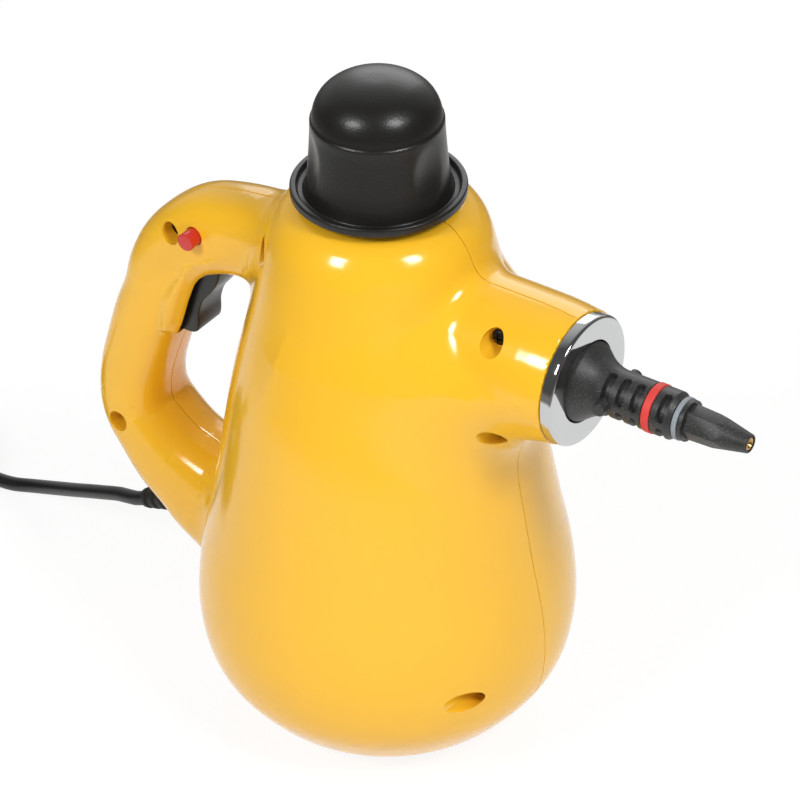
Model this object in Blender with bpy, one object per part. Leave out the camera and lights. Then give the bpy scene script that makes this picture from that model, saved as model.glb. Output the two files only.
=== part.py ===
"""Handheld steam window cleaner: a pear-shaped boiler housing with a loop handle,
a short snout with a bayonet nozzle, a screwed filler cap and a mains cord.

Frame: the origin is on the floor under the boiler's axis, +Z is up and +X points
towards the nozzle. The trigger, the lock button and the parting line lie on Y = 0.
"""

import math

import bmesh
import bpy
from mathutils import Matrix, Vector

MM = 0.001

# Clearances shared by all pieces
CLEAR = 0.3 * MM
OVERRUN = 4.0 * MM
WALL = 2.5 * MM
SPLIT_GAP = 0.3 * MM
MERGE = 0.01 * MM

# Housing: the pear-shaped body
BODY_RADIUS = 72.5 * MM
BODY_HEIGHT = 227.6 * MM
FOOT_LIFT = 0.6 * MM
BODY_OUTLINE_SHARES = (
    (0.000, 0.590), (0.024, 0.681), (0.065, 0.814), (0.130, 0.949), (0.211, 1.000),
    (0.304, 0.981), (0.406, 0.917), (0.669, 0.764), (0.811, 0.654), (0.900, 0.590),
    (0.946, 0.552), (0.976, 0.495), (1.000, 0.383),
)
BODY_SIDES = 32

# Housing: the snout, whose sections follow its length and its end radius
SNOUT_LENGTH = 84.6 * MM
SNOUT_RADIUS = 25.15 * MM
SNOUT_HEIGHT_SHARE = 0.800
SNOUT_SHARES = (
    (0.189, 1.030, 2.787, 1.590), (0.473, 1.046, 2.310, 1.412),
    (0.640, 1.054, 1.870, 1.190), (0.792, 1.050, 1.316, 1.082),
    (0.887, 1.042, 1.117, 1.050), (1.000, 1.000, 1.000, 1.000),
)
SNOUT_SIDES = 18
SNOUT_POWER = 2.0

# Housing: the loop handle, a run of rounded sections
HANDLE_REACH = 116.9 * MM
HANDLE_HALF_DEPTH = 14.0 * MM
HANDLE_HALF_WIDTH = 17.4 * MM
HANDLE_SHARES = (
    (0.205, 0.844, 1.214, 0.868), (0.445, 0.844, 1.214, 0.839),
    (0.636, 0.821, 1.214, 0.845), (0.713, 0.797, 1.179, 0.839),
    (0.783, 0.763, 1.121, 0.839), (0.835, 0.718, 1.071, 0.856),
    (0.912, 0.610, 1.029, 0.920), (0.985, 0.492, 0.993, 0.966),
    (0.995, 0.439, 1.000, 1.000), (0.977, 0.401, 1.036, 1.023),
    (0.931, 0.369, 1.086, 1.040), (0.855, 0.329, 1.243, 1.057),
    (0.684, 0.276, 1.600, 1.103), (0.393, 0.230, 1.829, 1.138),
)
HANDLE_SIDES = 14
HANDLE_POWER = 2.7

# Housing: the raised guard round the trigger, and the slot that the trigger fills
GUARD_HALF_WIDTH = 12.4 * MM
GUARD_SHARES = (
    (0.5133, 0.8040), (0.5492, 0.7869), (0.5962, 0.7750), (0.6245, 0.7658),
    (0.6536, 0.7469), (0.6732, 0.7267), (0.7015, 0.6894), (0.7374, 0.6336),
    (0.7588, 0.6107), (0.7956, 0.6033), (0.8554, 0.6107), (0.8298, 0.7030),
    (0.7186, 0.7821), (0.5646, 0.8304),
)
SLOT_SHARES = (
    (0.4962, 0.8172), (0.6159, 0.8216), (0.7357, 0.7733), (0.8298, 0.6591),
    (0.8298, 0.6090), (0.6758, 0.6110), (0.4962, 0.7030),
)

# Trigger: its side profile follows the handle, its arm pushes the valve
TRIGGER_WIDTH = 15.0 * MM
TRIGGER_HUB_RADIUS = 4.5 * MM
TRIGGER_EDGE = 1.4 * MM
PIVOT_SHARES = (0.6159, 0.7909)
PIVOT_PIN_RADIUS = 1.5 * MM
PIVOT_BOSS_RADIUS = 4.2 * MM
PIVOT_PIN_HALF = 11.0 * MM
TRIGGER_FRONT_SHARES = (
    (0.5877, 0.7658), (0.6039, 0.7364), (0.6193, 0.7201), (0.6416, 0.7043),
    (0.6707, 0.6850), (0.6878, 0.6599), (0.6903, 0.6393), (0.6886, 0.6191),
    (0.6989, 0.6160), (0.7271, 0.6147), (0.7699, 0.6130), (0.7998, 0.6239),
    (0.7699, 0.6810), (0.7186, 0.7381), (0.6672, 0.7821),
)
LEVER_LENGTH = 6.0 * MM
LEVER_FRONT = 5.2 * MM
LEVER_BACK = 2.4 * MM
LEVER_TIP = 1.0 * MM
POCKET_WALL = 2.2 * MM
TORSION_WIRE = 0.5 * MM
TORSION_RADIUS = 3.4 * MM
TORSION_TURNS = 3
TORSION_PITCH_SHARE = 2.6
SPRING_TURN_POINTS = 8

# Lock button: a bolt across the top of the handle
LOCK_SHARES = (0.6390, 0.8385)
LOCK_RADIUS = 3.5 * MM
LOCK_TRAVEL = 5.0 * MM
LOCK_SURFACE_SHARE = 0.850
LOCK_WAIST_RADIUS = 2.0 * MM
LOCK_WAIST_HALF = 8.0 * MM

# Screws that hold the two housing halves together, seen from the -Y side
SCREW_HEAD_RADIUS = 3.1 * MM
SCREW_HEAD_HEIGHT = 2.2 * MM
SCREW_SHANK_RADIUS = 1.5 * MM
SCREW_BITE = 10.0 * MM
SCREW_BORE_RADIUS = 4.4 * MM
SCREW_BOSS_WALL = 1.5 * MM
SCREW_CATCH_RADIUS = 4.0 * MM
GRIP_SCREW_SHARES = ((0.7374, 0.8243), (0.9910, 0.4010))
GRIP_SEAT_SHARE = 0.45
NECK_SCREW_SHARES = (0.462, 0.903)
NECK_SEAT_SHARE = 0.22
BASE_SCREW_SHARES = (0.8455, 0.206)
BASE_SEAT_SHARE = 0.36
SNOUT_SCREW_SHARES = ((0.730, 0.672), (0.741, -0.915))
SNOUT_SEAT_SHARE = 0.56

# Base plate and boiler stand
BASE_RADIUS = 0.520 * BODY_RADIUS
BASE_FLANGE = 3.3 * MM
BASE_FLANGE_HEIGHT = 2.0 * MM
STAND_WALL = 1.5 * MM
STAND_INSET = 5.0 * MM
STAND_FOOT = 2.5 * MM
STAND_WINDOW = 20.0 * MM
STAND_WINDOWS = 3

# Boiler: two cups with flanges, a gasket and four bolts
BOILER_RADIUS = 0.524 * BODY_RADIUS
BOILER_WALL = 2.5 * MM
BOILER_BOTTOM = 38.0 * MM
BOILER_SEAM_SHARE = 0.461
BOILER_TOP_SHARE = 0.757
BOILER_SHOULDER_SHARE = 0.62
BOILER_TOP_RADIUS = 0.58 * BOILER_RADIUS
BOILER_ROUND = 6.0 * MM
FLANGE_WIDTH = 8.0 * MM
FLANGE_HEIGHT = 2.0 * MM
GASKET_HEIGHT = 1.2 * MM
GASKET_WIDTH = 4.0 * MM
BOLT_RADIUS = 1.5 * MM
BOLT_HEAD_RADIUS = 3.0 * MM
BOLT_HEAD_HEIGHT = 2.0 * MM
BOLT_TAIL = 1.5 * MM
BOLTS = 4
BOILER_SIDES = 20

# Heater, thermostat and fuse on the boiler
HEATER_RADIUS = 0.632 * BOILER_RADIUS
HEATER_TUBE = 4.0 * MM
THERMOSTAT_RADIUS = 8.0 * MM
THERMOSTAT_HEIGHT = 8.7 * MM
FUSE_RADIUS = 3.0 * MM
FUSE_LENGTH = 14.0 * MM
FUSE_HEIGHT_SHARE = 0.29

# Filler neck
NECK_BORE = 10.0 * MM
NECK_WALL = 3.5 * MM
NECK_FLANGE_RADIUS = 17.0 * MM
NECK_FLANGE_HEIGHT = 2.5 * MM
NECK_RISE = 8.4 * MM

# Filler cap
CAP_LIFT = 2.8 * MM
CAP_BRIM_RADIUS = 31.84 * MM
CAP_LIP_WIDTH = 3.0 * MM
CAP_LIP_HEIGHT = 3.3 * MM
CAP_GROOVE = 0.8 * MM
CAP_BARREL_RADIUS = 23.75 * MM
CAP_RIDGE_RISE = 30.2 * MM
CAP_DOME_RISE = 16.0 * MM
CAP_DOME_LIP = 0.5 * MM
CAP_WALL = 2.9 * MM
CAP_DOME_WALL = 7.0 * MM
CAP_FLARE_SHARES = ((1.135, 0.080), (1.090, 0.170), (1.056, 0.360), (1.028, 0.660))
CAP_DOME_SHARES = (
    (1.012, 0.00), (1.000, 0.16), (0.945, 0.38), (0.812, 0.63), (0.609, 0.83),
    (0.368, 0.95), (0.180, 0.99),
)
CAP_PRESS = 2.0 * MM
CAP_SLEEVE_RADIUS = 13.5 * MM
CAP_SLEEVE_WALL = 4.0 * MM
CAP_SLEEVE_RISE = 27.9 * MM
CAP_POCKET_HEIGHT = 11.0 * MM
CAP_POCKET_WIDTH = 7.0 * MM
CAP_POCKET_DEPTH = 1.8 * MM
CAP_POCKET_RISE = 16.0 * MM
CAP_POCKET_RADIUS = 1.045 * CAP_BARREL_RADIUS
CAP_POCKET_TURNS = (-7.8, 112.2, 232.2)
CAP_SIDES = 24

# Inside the cap: the screwed plug, its gasket, the ring that keeps it in and a spring
PLUG_DEPTH = 22.0 * MM
CORE_HEAD_RADIUS = 19.0 * MM
CORE_HEAD_HEIGHT = 2.8 * MM
CORE_POST_RADIUS = 9.0 * MM
CORE_POST_HEIGHT = 21.0 * MM
CORE_CUP_RADIUS = 6.5 * MM
CORE_CUP_FLOOR = 2.0 * MM
SEAL_HEIGHT = 1.6 * MM
RETAINER_BORE = 17.0 * MM
RETAINER_HEIGHT = 4.6 * MM
CAP_SPRING_RADIUS = 11.6 * MM
CAP_SPRING_WIRE = 0.8 * MM
CAP_SPRING_TURNS = 4

# Snout trim ring
RING_THICKNESS = 4.54 * MM
RING_RADIUS = 24.56 * MM
RING_BORE = 15.9 * MM
RING_SPIGOT_WALL = 1.6 * MM
RING_ROUND = 1.2 * MM

# Nozzle: outline along its axis from the trim ring's face, as shares
NOZZLE_LENGTH = 66.1 * MM
NOZZLE_RADIUS = 9.5 * MM
NOZZLE_BORE = 2.2 * MM
NOZZLE_FLANGE_RADIUS = 19.0 * MM
NOZZLE_FLANGE_WIDTH = 3.0 * MM
NOZZLE_TAIL_RADIUS = 3.5 * MM
NOZZLE_TAIL_LENGTH = 29.5 * MM
NOZZLE_HUB_RADIUS = 11.0 * MM
NOZZLE_HUB_LENGTH = 16.0 * MM
NOZZLE_ROOT_SHARE = 1.621
NOZZLE_BELL_SHARES = (
    (0.000, 1.621), (0.050, 1.580), (0.095, 1.430), (0.125, 1.250), (0.155, 1.100),
    (0.190, 1.000),
)
NOZZLE_CONE_SHARES = (
    (0.553, 1.000), (0.563, 0.900), (0.578, 0.890),
)
CONE_START_SHARE = 0.619
CONE_RADIUS_SHARES = (0.820, 0.358)
SEAL_GROOVE_DEPTH = 1.5 * MM
SEAL_WIDTH = 3.1 * MM
SEAL_CENTRE_SHARE = 0.431
SMALL_SEAL_WIDTH = 2.1 * MM
SMALL_SEAL_CENTRE_SHARE = 0.5985
SMALL_SEAL_RADIUS = 7.9 * MM
SLOT_ROW_SHARES = (0.179, 0.267, 0.355, 0.519)
SLOTS_ROUND = 4
SLOT_SPAN = 54.0
SLOT_WIDTH = 3.3 * MM
SLOT_DEPTH = 1.5 * MM
PIN_RADIUS = 2.05 * MM
PIN_REACH = 13.0 * MM
PIN_SHARE = 0.182
FLATS = 6
FLAT_DISTANCE = 5.15 * MM
INSERT_RADIUS = 2.4 * MM
INSERT_BORE = 0.9 * MM
INSERT_LENGTH = 8.5 * MM
NOZZLE_SIDES = 22
HOLE_SIDES = 10
BAYONET_SIDES = 12
SLOT_STEPS = 3
ROD_SIDES = 14
SMALL_ROD_SIDES = 8
TUBE_SIDES = 7

# Steam path: valve, riser and hose
VALVE_RADIUS = 6.0 * MM
VALVE_EDGE = 1.2 * MM
VALVE_END_RADIUS = 0.75 * VALVE_RADIUS
VALVE_START = 0.5133 * HANDLE_REACH
VALVE_INLET_SHARE = 0.743
VALVE_LENGTH = 22.0 * MM
VALVE_BORE_RADIUS = 1.8 * MM
VALVE_BORE_DEPTH = 12.0 * MM
STEM_RADIUS = 1.5 * MM
STEM_LENGTH = 13.0 * MM
RISER_RADIUS = 3.0 * MM
RISER_SHARES = (
    (0.000, 0.571), (0.357, 0.571), (0.800, 0.579), (1.000, 0.594), (1.000, 0.640),
)
HOSE_RADIUS = 3.5 * MM
HOSE_GAP = 6.0 * MM
HOSE_TURNS = (
    (150.0, 0.92), (115.0, 0.87), (80.0, 0.76), (45.0, 0.60),
)
HOSE_END_SHARES = ((0.740, 0.30, 0.52), (0.850, 0.08, 0.16), (0.930, 0.00, 0.00))
HOSE_LEAD = 5.0 * MM

# Cord entry: strain relief, inner cord, terminal block and wires
RELIEF_SHARES = (0.8212, 0.2285)
RELIEF_SLOPE = 25.5
SLEEVE_RADIUS = 5.5 * MM
SLEEVE_TIP_RADIUS = 3.9 * MM
SLEEVE_LENGTH = 25.5 * MM
SLEEVE_INNER = 7.5 * MM
SLEEVE_FLANGE = 7.6 * MM
SLEEVE_FLANGE_WIDTH = 2.0 * MM
SLEEVE_GROOVE = 0.8 * MM
SLEEVE_GROOVES = 3
SLEEVE_PITCH = 4.8 * MM
BLOCK_LENGTH = 14.0 * MM
BLOCK_WIDTH = 16.0 * MM
BLOCK_HEIGHT = 10.0 * MM
BLOCK_GAP = 9.0 * MM
SHELF_HEIGHT = 3.0 * MM
WIRE_RADIUS = 1.0 * MM
WIRE_SPACING = 5.0 * MM

# Mains cord and plug, with the route's own points
CORD_RADIUS = 3.0 * MM
CORD_RUN = 106.5 * MM
CORD_ROUTE_SHARES = (
    (0.148, 0.020, 0.833), (0.238, 0.036, 0.716), (0.333, 0.056, 0.584),
    (0.429, 0.077, 0.446), (0.527, 0.099, 0.308), (0.623, 0.117, 0.180),
    (0.709, 0.124, 0.085), (0.783, 0.118, 0.027), (0.856, 0.113, 0.005),
    (0.931, 0.115, 0.000), (1.000, 0.128, 0.000),
)
COIL_BEHIND = 136.7 * MM
COIL_ASIDE = 24.0 * MM
COIL_INNER = 25.5 * MM
COIL_PITCH = 6.7 * MM
COIL_PASSES = 4
COIL_PASS_TURNS = 2.8125
COIL_START = 75.0
COIL_TURN_POINTS = 18
COIL_LIFT = 0.2 * MM
COIL_CLIMB_TURNS = 0.5
TAIL_DROP_SHARES = ((0.333, 0.16), (0.667, 0.72), (1.000, 0.97))
TAIL_DROP = 42.0 * MM
TAIL_RUN = 9.0 * MM
PLUG_LENGTH = 34.0 * MM
PLUG_WIDTH = 26.0 * MM
PLUG_THICKNESS = 13.7 * MM
PLUG_COLLAR_RADIUS = 4.6 * MM
PLUG_COLLAR_LENGTH = 11.0 * MM
PLUG_PIN_RADIUS = 2.0 * MM
PLUG_PIN_LENGTH = 19.0 * MM
PLUG_PIN_SPACING = 18.6 * MM
PLUG_SIDES = 12
PLUG_POWER = 3.2
PLUG_COLLAR_FLARE = 1.1
PLUG_SHOULDER_SHARES = (0.20, 0.85)

# Places worked out from the sizes above
BODY_TOP = BODY_HEIGHT
SNOUT_AXIS = SNOUT_HEIGHT_SHARE * BODY_HEIGHT
RING_FACE = SNOUT_LENGTH + CLEAR + RING_THICKNESS
BOILER_SEAM = BOILER_SEAM_SHARE * BODY_HEIGHT
BOILER_TOP = BOILER_TOP_SHARE * BODY_HEIGHT
NECK_RADIUS = NECK_BORE + NECK_WALL
NECK_TOP = BODY_TOP + NECK_RISE
CAP_FOOT = BODY_TOP + CAP_LIFT
CORE_SEAT = NECK_TOP + CLEAR + SEAL_HEIGHT + CLEAR
CORE_DECK = CORE_SEAT + CORE_HEAD_HEIGHT
LOCK_HALF = LOCK_SURFACE_SHARE * HANDLE_HALF_WIDTH
TAU = 2 * math.pi


def clear_scene():
    for item in list(bpy.data.objects):
        bpy.data.objects.remove(item, do_unlink=True)


def material(name, colour, roughness, metallic=0.0):
    made = bpy.data.materials.get(name) or bpy.data.materials.new(name)
    made.use_nodes = True
    shader = made.node_tree.nodes["Principled BSDF"]
    shader.inputs["Base Color"].default_value = (*colour, 1.0)
    shader.inputs["Roughness"].default_value = roughness
    shader.inputs["Metallic"].default_value = metallic
    made.diffuse_color = (*colour, 1.0)
    return made


def yellow_plastic():
    return material("yellow_plastic", (0.92, 0.50, 0.045), 0.22)


def black_plastic():
    return material("black_plastic", (0.022, 0.021, 0.020), 0.42)


def red_plastic():
    return material("red_plastic", (0.64, 0.025, 0.035), 0.25)


def chrome():
    return material("chrome", (0.82, 0.83, 0.85), 0.08, 1.0)


def steel():
    return material("steel", (0.55, 0.56, 0.58), 0.30, 1.0)


def aluminium():
    return material("aluminium", (0.62, 0.63, 0.65), 0.42, 1.0)


def brass():
    return material("brass", (0.72, 0.50, 0.20), 0.28, 1.0)


def black_rubber():
    return material("black_rubber", (0.016, 0.016, 0.016), 0.60)


def red_rubber():
    return material("red_rubber", (0.74, 0.06, 0.05), 0.45)


def grey_rubber():
    return material("grey_rubber", (0.21, 0.25, 0.28), 0.50)


def white_silicone():
    return material("white_silicone", (0.78, 0.77, 0.73), 0.55)


def object_from(bm, name, finish=None, smooth=35.0):
    """A mesh object with its faces pointing out."""
    bmesh.ops.recalc_face_normals(bm, faces=bm.faces)
    mesh = bpy.data.meshes.new(name)
    bm.to_mesh(mesh)
    bm.free()
    made = bpy.data.objects.new(name, mesh)
    bpy.context.collection.objects.link(made)
    if finish is not None:
        dress(made, finish, smooth)
    return made


def dress(made, finish, smooth=35.0):
    """Gives an object its one material and smooth shading between sharp edges."""
    made.data.materials.clear()
    made.data.materials.append(finish)
    made.data.shade_smooth()
    made.data.set_sharp_from_angle(angle=math.radians(smooth))


def rotation_to(direction):
    """Turns +Z towards a direction."""
    return Vector(direction).to_track_quat("Z", "Y").to_matrix().to_4x4()


def along_x(start, height):
    """A frame whose +Z runs along +X from a point on the XZ plane."""
    return Matrix.Translation((start, 0, height)) @ rotation_to((1, 0, 0))


def turned(name, outline, finish=None, sides=NOZZLE_SIDES, frame=None, closed=False):
    """Spins an outline of (radius, height) pairs about the frame's Z axis."""
    bm = bmesh.new()
    points = [bm.verts.new((radius, 0, height)) for radius, height in outline]
    edges = [bm.edges.new(pair) for pair in zip(points, points[1:])]
    if closed:
        edges.append(bm.edges.new((points[-1], points[0])))
    bmesh.ops.spin(
        bm, geom=points + edges, axis=(0, 0, 1), cent=(0, 0, 0),
        angle=TAU, steps=sides, use_merge=True,
    )
    bmesh.ops.remove_doubles(bm, verts=bm.verts, dist=MERGE)
    if frame is not None:
        bmesh.ops.transform(bm, matrix=frame, verts=bm.verts)
    return object_from(bm, name, finish)


def rod(name, start, end, radius, finish=None, sides=ROD_SIDES):
    """A plain cylinder between two points."""
    start, end = Vector(start), Vector(end)
    length = (end - start).length
    frame = Matrix.Translation(start) @ rotation_to(end - start)
    outline = [(0, 0), (radius, 0), (radius, length), (0, length)]
    return turned(name, outline, finish, sides, frame)


def prism(name, outline, half_width, finish=None, middle=0.0):
    """Extrudes an outline of (x, z) pairs to both sides along Y."""
    bm = bmesh.new()
    ring = [bm.verts.new((x, middle - half_width, z)) for x, z in outline]
    face = bm.faces.new(ring)
    grown = bmesh.ops.extrude_face_region(bm, geom=[face])
    moved = [item for item in grown["geom"] if isinstance(item, bmesh.types.BMVert)]
    bmesh.ops.translate(bm, vec=(0, 2 * half_width, 0), verts=moved)
    return object_from(bm, name, finish)


def block(name, low, high, finish=None):
    """A box between two corners."""
    bm = bmesh.new()
    bmesh.ops.create_cube(bm, size=1.0)
    low, high = Vector(low), Vector(high)
    bmesh.ops.scale(bm, vec=high - low, verts=bm.verts)
    bmesh.ops.translate(bm, vec=(low + high) / 2, verts=bm.verts)
    return object_from(bm, name, finish)


def loft(name, rings, finish=None):
    """Joins rings of equally many points and closes both ends."""
    bm = bmesh.new()
    rows = [[bm.verts.new(point) for point in ring] for ring in rings]
    for lower, upper in zip(rows, rows[1:]):
        for here in range(len(lower)):
            there = (here + 1) % len(lower)
            bm.faces.new((lower[here], lower[there], upper[there], upper[here]))
    bm.faces.new(rows[0])
    bm.faces.new(rows[-1])
    return object_from(bm, name, finish)


def rounded_section(sides, power):
    """Unit points of a superellipse."""
    points = []
    for step in range(sides):
        angle = TAU * (step + 0.5) / sides
        across, wide = math.cos(angle), math.sin(angle)
        points.append((
            math.copysign(abs(across) ** (2 / power), across),
            math.copysign(abs(wide) ** (2 / power), wide),
        ))
    return points


def combine(target, other, operation):
    """Applies one Boolean and removes the object it used."""
    step = target.modifiers.new(operation.lower(), "BOOLEAN")
    step.object = other
    step.operation = operation
    step.solver = "EXACT"
    graph = bpy.context.evaluated_depsgraph_get()
    shape = bpy.data.meshes.new_from_object(target.evaluated_get(graph))
    target.modifiers.clear()
    target.data = shape
    bpy.data.objects.remove(other, do_unlink=True)
    return target


def join_apart(name, items):
    """One object of several bodies that don't touch, to cut or add at one go."""
    bm = bmesh.new()
    for item in items:
        bm.from_mesh(item.data)
        bpy.data.objects.remove(item, do_unlink=True)
    return object_from(bm, name)


def duplicate(item, name):
    made = bpy.data.objects.new(name, item.data.copy())
    bpy.context.collection.objects.link(made)
    return made


def curve_tube(name, points, radius, finish, resolution=2):
    """A tube with filled ends along a line of points."""
    line = bpy.data.curves.new(name, "CURVE")
    line.dimensions = "3D"
    line.bevel_depth = radius
    line.bevel_resolution = resolution
    line.use_fill_caps = True
    spline = line.splines.new("POLY")
    spline.points.add(len(points) - 1)
    for place, point in zip(spline.points, points):
        place.co = (*point, 1.0)
    line.materials.append(finish)
    made = bpy.data.objects.new(name, line)
    bpy.context.collection.objects.link(made)
    return made


def smooth_line(points, steps):
    """Reads points from a smooth curve through the given ones."""
    points = [Vector(point) for point in points]
    ends = [2 * points[0] - points[1]] + points + [2 * points[-1] - points[-2]]
    line = [points[0]]
    for before, start, end, after in zip(ends, ends[1:], ends[2:], ends[3:]):
        for step in range(1, steps + 1):
            t = step / steps
            line.append(0.5 * (
                2 * start + (end - before) * t
                + (2 * before - 5 * start + 4 * end - after) * t * t
                + (3 * start - before - 3 * end + after) * t * t * t
            ))
    return line


def helix(radius, bottom, top, turns, turn_points=SPRING_TURN_POINTS):
    """Points of a spring standing on the XY plane."""
    count = turns * turn_points
    line = []
    for step in range(count + 1):
        angle = TAU * step / turn_points
        rise = bottom + (top - bottom) * step / count
        line.append(Vector((radius * math.cos(angle), radius * math.sin(angle), rise)))
    return line


def handle_place(shares):
    """A point of the side view from shares of the handle's reach and the height."""
    return -shares[0] * HANDLE_REACH, shares[1] * BODY_HEIGHT


def handle_outline(shares):
    return [handle_place(pair) for pair in shares]


def pivot_place():
    return handle_place(PIVOT_SHARES)


def body_outline(inset):
    """The body's side as (radius, height) pairs, moved in square to itself."""
    raw = [(share * BODY_RADIUS, rise * BODY_HEIGHT) for rise, share in BODY_OUTLINE_SHARES]
    outline = []
    for place, (radius, height) in enumerate(raw):
        before = raw[max(place - 1, 0)]
        after = raw[min(place + 1, len(raw) - 1)]
        run, rise = after[0] - before[0], after[1] - before[1]
        length = math.hypot(run, rise)
        outline.append((radius - inset * rise / length, height + inset * run / length))
    return outline


def radius_at(outline, height):
    """The outline's radius at one height."""
    for (r0, z0), (r1, z1) in zip(outline, outline[1:]):
        if z0 <= height <= z1:
            return r0 + (r1 - r0) * (height - z0) / (z1 - z0)
    return outline[-1][0]


def body_solid():
    side = body_outline(0)
    first = radius_at(side, FOOT_LIFT)
    outline = [(0, FOOT_LIFT), (first, FOOT_LIFT)] + side[1:] + [(0, BODY_TOP)]
    return turned("body_solid", outline, sides=BODY_SIDES)


def body_void():
    """The space inside the body, open at the foot and round the filler neck."""
    side = body_outline(WALL)
    floor, ceiling = FOOT_LIFT + WALL, BODY_TOP - WALL
    inner = [pair for pair in side if floor < pair[1] < ceiling]
    hole = BASE_RADIUS + CLEAR
    mouth = NECK_RADIUS + CLEAR
    outline = [(0, -OVERRUN), (hole, -OVERRUN), (hole, floor)]
    outline.append((radius_at(side, floor), floor))
    outline += inner
    outline.append((radius_at(side, ceiling), ceiling))
    outline += [(mouth, ceiling), (mouth, BODY_TOP + OVERRUN), (0, BODY_TOP + OVERRUN)]
    return turned("body_void", outline, sides=BODY_SIDES)


def snout_rings(inset, front):
    """Sections of the snout, from inside the body to its front end."""
    unit = rounded_section(SNOUT_SIDES, SNOUT_POWER)
    rings = []
    for along, above, below, wide in SNOUT_SHARES:
        top = SNOUT_RADIUS * above - inset
        bottom = SNOUT_RADIUS * below - inset
        side = SNOUT_RADIUS * wide - inset
        middle = SNOUT_AXIS + (top - bottom) / 2
        half = (top + bottom) / 2
        x = min(along * SNOUT_LENGTH, front)
        rings.append([(x, side * v, middle + half * u) for u, v in unit])
    return rings


def handle_rings(inset):
    """Sections of the handle, square to its middle line."""
    unit = rounded_section(HANDLE_SIDES, HANDLE_POWER)
    middle = [Vector((-x * HANDLE_REACH, 0, z * BODY_HEIGHT)) for x, z, _, _ in HANDLE_SHARES]
    rings = []
    for place, (_, _, deep, wide) in enumerate(HANDLE_SHARES):
        before = middle[max(place - 1, 0)]
        after = middle[min(place + 1, len(middle) - 1)]
        along = (after - before).normalized()
        across = along.cross(Vector((0, 1, 0)))
        depth = deep * HANDLE_HALF_DEPTH - inset
        width = wide * HANDLE_HALF_WIDTH - inset
        rings.append([
            middle[place] + across * depth * u + Vector((0, width * v, 0)) for u, v in unit
        ])
    return rings


def outer_solid():
    """The housing's outside: body, snout, handle and trigger guard."""
    solid = body_solid()
    combine(solid, loft("snout", snout_rings(0, SNOUT_LENGTH)), "UNION")
    combine(solid, loft("handle", handle_rings(0)), "UNION")
    guard = prism("guard", handle_outline(GUARD_SHARES), GUARD_HALF_WIDTH)
    return combine(solid, guard, "UNION")


def inner_void():
    """The housing's inside, with the trigger slot and the holes of the front wall."""
    void = body_void()
    combine(void, loft("snout", snout_rings(WALL, SNOUT_LENGTH - WALL)), "UNION")
    combine(void, loft("handle", handle_rings(WALL)), "UNION")
    slot_half = TRIGGER_WIDTH / 2 + 2 * CLEAR
    combine(void, prism("slot", handle_outline(SLOT_SHARES), slot_half), "UNION")
    start = SNOUT_LENGTH - WALL - OVERRUN
    end = SNOUT_LENGTH + OVERRUN
    hole = RING_BORE + RING_SPIGOT_WALL + CLEAR
    front = rod("hole", (start, 0, SNOUT_AXIS), (end, 0, SNOUT_AXIS), hole, sides=NOZZLE_SIDES)
    return combine(void, front, "UNION")


def lock_place():
    return handle_place(LOCK_SHARES)


def side_hole(place, radius, start, end, sides=HOLE_SIDES):
    """A cylinder along Y at a place of the side view."""
    x, z = place
    return rod("hole", (x, start, z), (x, end, z), radius, sides=sides)


def side_frame(place):
    """A frame at a place of the side view, whose +Z runs along -Y."""
    return Matrix.Translation((place[0], 0, place[1])) @ rotation_to((0, -1, 0))


def screw_places():
    """Each screw's place in the side view and the depth of its seat."""
    places = [
        (handle_place(pair), GRIP_SEAT_SHARE * HANDLE_HALF_WIDTH) for pair in GRIP_SCREW_SHARES
    ]
    neck = (-NECK_SCREW_SHARES[0] * BODY_RADIUS, NECK_SCREW_SHARES[1] * BODY_HEIGHT)
    places.append((neck, NECK_SEAT_SHARE * BODY_RADIUS))
    base = (BASE_SCREW_SHARES[0] * BODY_RADIUS, BASE_SCREW_SHARES[1] * BODY_HEIGHT)
    places.append((base, BASE_SEAT_SHARE * BODY_RADIUS))
    for along, rise in SNOUT_SCREW_SHARES:
        place = (along * SNOUT_LENGTH, SNOUT_AXIS + rise * SNOUT_RADIUS)
        places.append((place, SNOUT_SEAT_SHARE * SNOUT_RADIUS))
    return places


def relief_frame():
    """The cord entry: +Z runs out of the housing along the strain relief."""
    x, z = handle_place(RELIEF_SHARES)
    slope = math.radians(RELIEF_SLOPE)
    direction = Vector((-math.cos(slope), 0, -math.sin(slope)))
    return Matrix.Translation((x, 0, z)) @ rotation_to(direction)


def block_corner():
    """The terminal block's rear, lower edge in the side view."""
    inner = relief_frame() @ Vector((0, 0, -SLEEVE_INNER - SLEEVE_FLANGE_WIDTH))
    return inner.x + BLOCK_GAP, inner.z + math.tan(math.radians(RELIEF_SLOPE)) * BLOCK_GAP


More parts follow.
